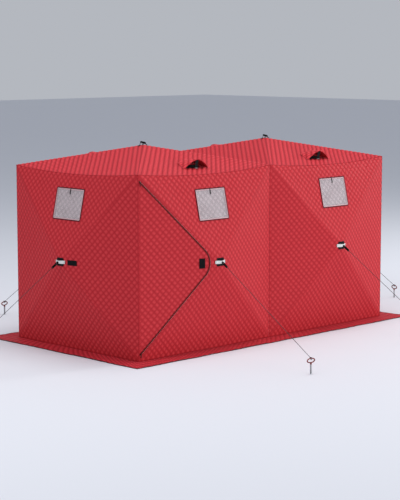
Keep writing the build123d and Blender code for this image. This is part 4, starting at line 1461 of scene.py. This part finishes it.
# Roof vents
# A fabric hood is sewn over each vent hole and propped open towards the eave; black netting
# closes the hole below it.
# Painted shade: the hood's underside is the same red cloth, coloured darker as if in the hood's shadow.
hood_inner_painted_shade = plain_cloth("hood_inner_cloth_painted_shade", (0.48, 0.010, 0.016, 1), (0.40, 0.008, 0.013, 1), 0.75)
plain_red = plain_cloth("plain_red_cloth", (0.54, 0.026, 0.038, 1), (0.45, 0.018, 0.028, 1), 0.6)
mesh_screen = plain_cloth("screen_netting", (0.010, 0.010, 0.010, 1), (0.016, 0.016, 0.016, 1),
                          0.8, thread_width=0.0030, crumple=0.0004)
prop_grey = hard_surface("dark_prop_plastic", (0.006, 0.007, 0.008, 1), (0.010, 0.011, 0.012, 1), 0.8,
                         shine=0.15)
vent_width = 0.322
vent_depth = 0.165
vent_height = 0.057
vent_tail_width = 0.170
vent_tail_height = 0.020
hood_thickness = 0.0022
hood_rows = 22
hood_columns = 44
hood_seat = 0.0036
hood_reach = 1.06
hood_swell = 0.0034
hood_crease = 0.0012
screen_corner = 0.012
screen_stitch_lift = -0.0065
binding_radius = 0.0020
side_band = (0.013, 0.0010)
tail_band = (0.012, 0.0010)
screen_lap = 0.016
screen_lifts = (-0.0062, -0.0052)
prop_section = (0.038, 0.0024, 0.0008)
prop_tab_section = (0.034, 0.0014)
hoods, screens, props = PieceMesh(), PieceMesh(), PieceMesh()
hood_stitches, screen_stitches = Copies(), Copies()


def hood_surface(gusset, shrink):
    """A hood's outer or, shrunk, inner face: points, cloth places and padding, from mouth to tail."""
    rows, places, puffs = [], [], []
    u = np.linspace(-1, 1, hood_columns + 1)
    for t in np.linspace(0, hood_reach, hood_rows + 1):
        y = vent_up + vent_depth * t
        drop = (1 - y / gusset.slant) ** 1.5 * eave_sag
        width = (1 - t) * vent_width + t * vent_tail_width - 2 * shrink
        height = (1 - t) * vent_height + t * vent_tail_height
        height = max((height + drop) * (1 - 0.35 * t ** 3) - shrink, 0) * min(1, (hood_reach - t) / 0.10)
        shape = 1 - (np.sqrt(u ** 2 + 0.02) - math.sqrt(0.02)) / (math.sqrt(1.02) - math.sqrt(0.02))
        shape = (0.32 - 0.2 * t) * shape + (0.68 + 0.2 * t) * (1 - u ** 2)
        x = width / 2 * u
        place, puff = padding(gusset, x, y)
        crease = hood_crease * np.sin(9 * u + 5 * t) * np.sin(math.pi * min(t, 1))
        swell = hood_swell * puff * np.clip((1 - np.abs(u)) * 6, 0, 1) if shrink == 0 else 0
        lift = height * shape + hood_seat - shrink + crease + swell
        rows.append(gusset.place(x, y, lift))
        places.append(place)
        puffs.append(puff)
    return np.array(rows), np.array(places), np.array(puffs)


for name in roofs:
    for side in (BOTTOM, TOP):
        gusset = bays[name].gussets[side]
        outer, places, puffs = hood_surface(gusset, 0.0)
        inner = hood_surface(gusset, hood_thickness)[0]
        upper, under, rims = slab_faces(*outer.shape[:2])
        points = np.concatenate([outer.reshape(-1, 3), inner.reshape(-1, 3)])
        faces = upper + rims + under
        if volume_sign(points, upper + under + rims) < 0:
            faces = [face[::-1] for face in faces]
        hoods.add(points, faces, np.tile(places.reshape(-1, 2), (2, 1)),
                  [0] * (len(faces) - len(under)) + [1] * len(under), np.tile(puffs.ravel(), 2))

        mouth, tail = outer[0], outer[-1]
        back, normal, side_dir = (np.array(v) for v in (gusset.up, gusset.normal, gusset.along))
        sweep(hoods, mouth + back * 0.001, back, np.cross(directions(mouth), back),
              round_section(binding_radius, 6), slot=2)
        for sign in (-1, 1):
            edge = outer[:-1, 0 if sign < 0 else -1]
            tape_side = side_dir * sign
            sweep(hoods, edge + tape_side * 0.005 + normal * 0.0003, tape_side, normal,
                  flat_section(*side_band), slot=2)
            sew(hood_stitches, edge + tape_side * 0.008 + normal * 0.0012, normal)
        sweep(hoods, tail + back * 0.004 + normal * 0.0003, back, normal, flat_section(*tail_band), slot=2)

        hole = (vent_hole_size[0] + screen_lap, vent_hole_size[1] + screen_lap)
        screen_place = place_on(gusset, 0.0, vent_hole_y)
        sewn_patch(screens, *hole, screen_corner, screen_place, *screen_lifts, cell=0.02)
        sewn_border(screen_stitches, *hole, screen_corner, screen_place, screen_stitch_lift)

        foot = gusset.place(np.array([0.0]), vent_up + 0.006, 0.0042)[0]
        head = inner[0][hood_columns // 2] + back * 0.006
        rise = head - foot
        path = [foot + back * 0.012, foot + back * 0.001 + normal * 0.001, foot + rise * 0.3,
                foot + rise * 0.7, head - normal * 0.002 - back * 0.001,
                head - normal * 0.0022 + back * 0.014]
        path = rounded_path(path, 0.006)
        sweep(props, path, side_dir, np.cross(directions(path), side_dir), flat_section(*prop_section))
        tab = [foot - back * 0.012 + normal * 0.0012, foot + back * 0.001 + normal * 0.0016]
        sweep(props, tab, side_dir, normal, flat_section(*prop_tab_section), slot=1)

hoods.add_mesh(hood_stitches.mesh(small_block(*stitch_size)), 3)
screens.add_mesh(screen_stitches.mesh(small_block(*stitch_size)), 1)
made = show("vent_hood_cloths", hoods, (roof_quilt_painted_lighter, hood_inner_painted_shade, plain_red, red_thread), "tent",
            "vent_hoods", slot="quilted_red")
made = show("vent_netting", screens, (mesh_screen, black_thread), "tent", "vent_screens", slot="mesh")
show("vent_prop_strips", props, (prop_grey, pale_thread), "tent", "vent_props", slot="prop")


# Snow skirt
# A flat flap of thin quilted cloth is sewn round the foot of the walls and lies on the ice, where
# snow is heaped on it. It ripples towards its hem, a tape coloured dark partly as painted shadow at the
# edge.
skirt_quilt = quilted_cloth("skirt_quilted_cloth", (0.60, 0.038, 0.055, 1), (0.37, 0.012, 0.022, 1),
                            (0.42, 0.014, 0.024, 1), 0.60, 0.02, 0.12, thin=True)
# The hem tape is real, but its near-black colour is partly painted shadow along the skirt's outer edge.
hem_tape_and_edge_shadow = plain_cloth("hem_tape_and_painted_shadow", (0.045, 0.006, 0.010, 1), (0.07, 0.008, 0.012, 1), 0.7)
skirt_tuck = 0.014
skirt_inner = (bay - skirt_tuck, half_bay - skirt_tuck)
skirt_reach = 0.234
skirt_thick = 0.0014
skirt_step = 0.028
skirt_wave = 0.004
hem_thickness = 0.0009
hem_width = 0.016
hem_stitch_size = (0.0052, 0.0010, 0.0008)
skirt = PieceMesh()
stitches = Copies()
shares = np.array([0.0, 0.06, 0.2, 0.35, 0.5, 0.65, 0.8, 1 - hem_width / skirt_reach - 0.004,
                   1 - hem_width / skirt_reach, 0.97, 1.0])


def skirt_rise(x, y, share):
    """Height of the skirt's underside above the ice."""
    ripple = (0.0009 * np.sin(17.0 * x + 5.0 * y) + 0.0009 * np.sin(19.0 * y - 6.0 * x + 1.0)
              + 0.0013 * np.sin(43.0 * (x - y) + 4.0 * share)
              + 0.0011 * np.sin(58.0 * (x + y) + 7.0 * share))
    return 0.0004 + np.maximum(share ** 0.8 * (0.0022 + ripple), 0.0) + 0.0014 * (1 - share) ** 2


corners = [(-1, -1), (1, -1), (1, 1), (-1, 1)]
walk = []
for (ax, ay), (bx, by) in zip(corners, corners[1:] + corners[:1]):
    length = 2 * (skirt_inner[0] if ax != bx else skirt_inner[1])
    for s in np.linspace(0, 1, round(length / skirt_step))[:-1]:
        walk.append((ax + (bx - ax) * s, ay + (by - ay) * s))
walk = np.array(walk)
tops, bases = [], []
for share in shares:
    x = walk[:, 0] * (skirt_inner[0] + skirt_reach * share)
    y = walk[:, 1] * (skirt_inner[1] + skirt_reach * share)
    edge = skirt_wave * share * np.sin(13 * walk[:, 0] * 1.8 + 9 * walk[:, 1])
    x = x + edge * np.sign(walk[:, 0]) * (np.abs(walk[:, 0]) > 0.999)
    y = y + edge * np.sign(walk[:, 1]) * (np.abs(walk[:, 1]) > 0.999)
    z = skirt_rise(x, y, share)
    thick = skirt_thick + (hem_thickness if share >= shares[-3] else 0.0)
    thick = 0.6 * thick if share == 1.0 else thick
    bases.append(np.stack([x, y, z], axis=1))
    tops.append(np.stack([x, y, z + thick], axis=1))
tops, bases = np.array(tops), np.array(bases)
rows, columns = tops.shape[:2]
count = rows * columns
lengths = np.concatenate([[0], np.cumsum(np.linalg.norm(np.diff(bases[0], axis=0), axis=1))])
along_foot, from_foot = np.tile(lengths, rows), np.repeat(shares * skirt_reach, columns)
cloth = np.stack([from_foot - along_foot, from_foot + along_foot], axis=1) / math.sqrt(2)
cloth = np.tile(cloth, (2, 1))
once_round = (lengths[-1] + skirt_step) / math.sqrt(2) * np.array([-1, 1])
index = np.arange(count).reshape(rows, columns)
beside = np.roll(index, -1, axis=1)
plain_faces, hem_faces = [], []
for i in range(rows - 1):
    faces = hem_faces if shares[i] >= shares[-3] - 1e-9 else plain_faces
    for a, b, c, d in zip(index[i], index[i + 1], beside[i + 1], beside[i]):
        faces += [(a, b, c, d), (d + count, c + count, b + count, a + count)]
plain_faces += [(a, b, b + count, a + count) for a, b in zip(index[0], beside[0])]
hem_faces += [(b, a, a + count, b + count) for a, b in zip(index[-1], beside[-1])]
points = np.concatenate([tops.reshape(-1, 3), bases.reshape(-1, 3)])
faces = plain_faces + hem_faces
if volume_sign(points, faces) < 0:
    faces = [face[::-1] for face in faces]
pairs = []
for face in faces:
    closing = columns - 1 in [i % columns for i in face]
    pairs.append([cloth[i] + (once_round if closing and i % columns == 0 else 0) for i in face])
skirt.add(points, faces, pairs, [0] * len(plain_faces) + [1] * len(hem_faces))
for row, up in ((-3, 0.0008), (-2, 0.0006)):
    line = np.concatenate([tops[row], tops[row][:1]]) + np.array([0, 0, up])
    sew(stitches, line, np.array([0, 0, 1.0]), pitch=0.008)
skirt.add_mesh(stitches.mesh(small_block(*hem_stitch_size)), 2)
made = show("snow_skirt_cloth", skirt, (skirt_quilt, hem_tape_and_edge_shadow, red_thread), "tent", "snow_skirt",
            slot="plain_red")
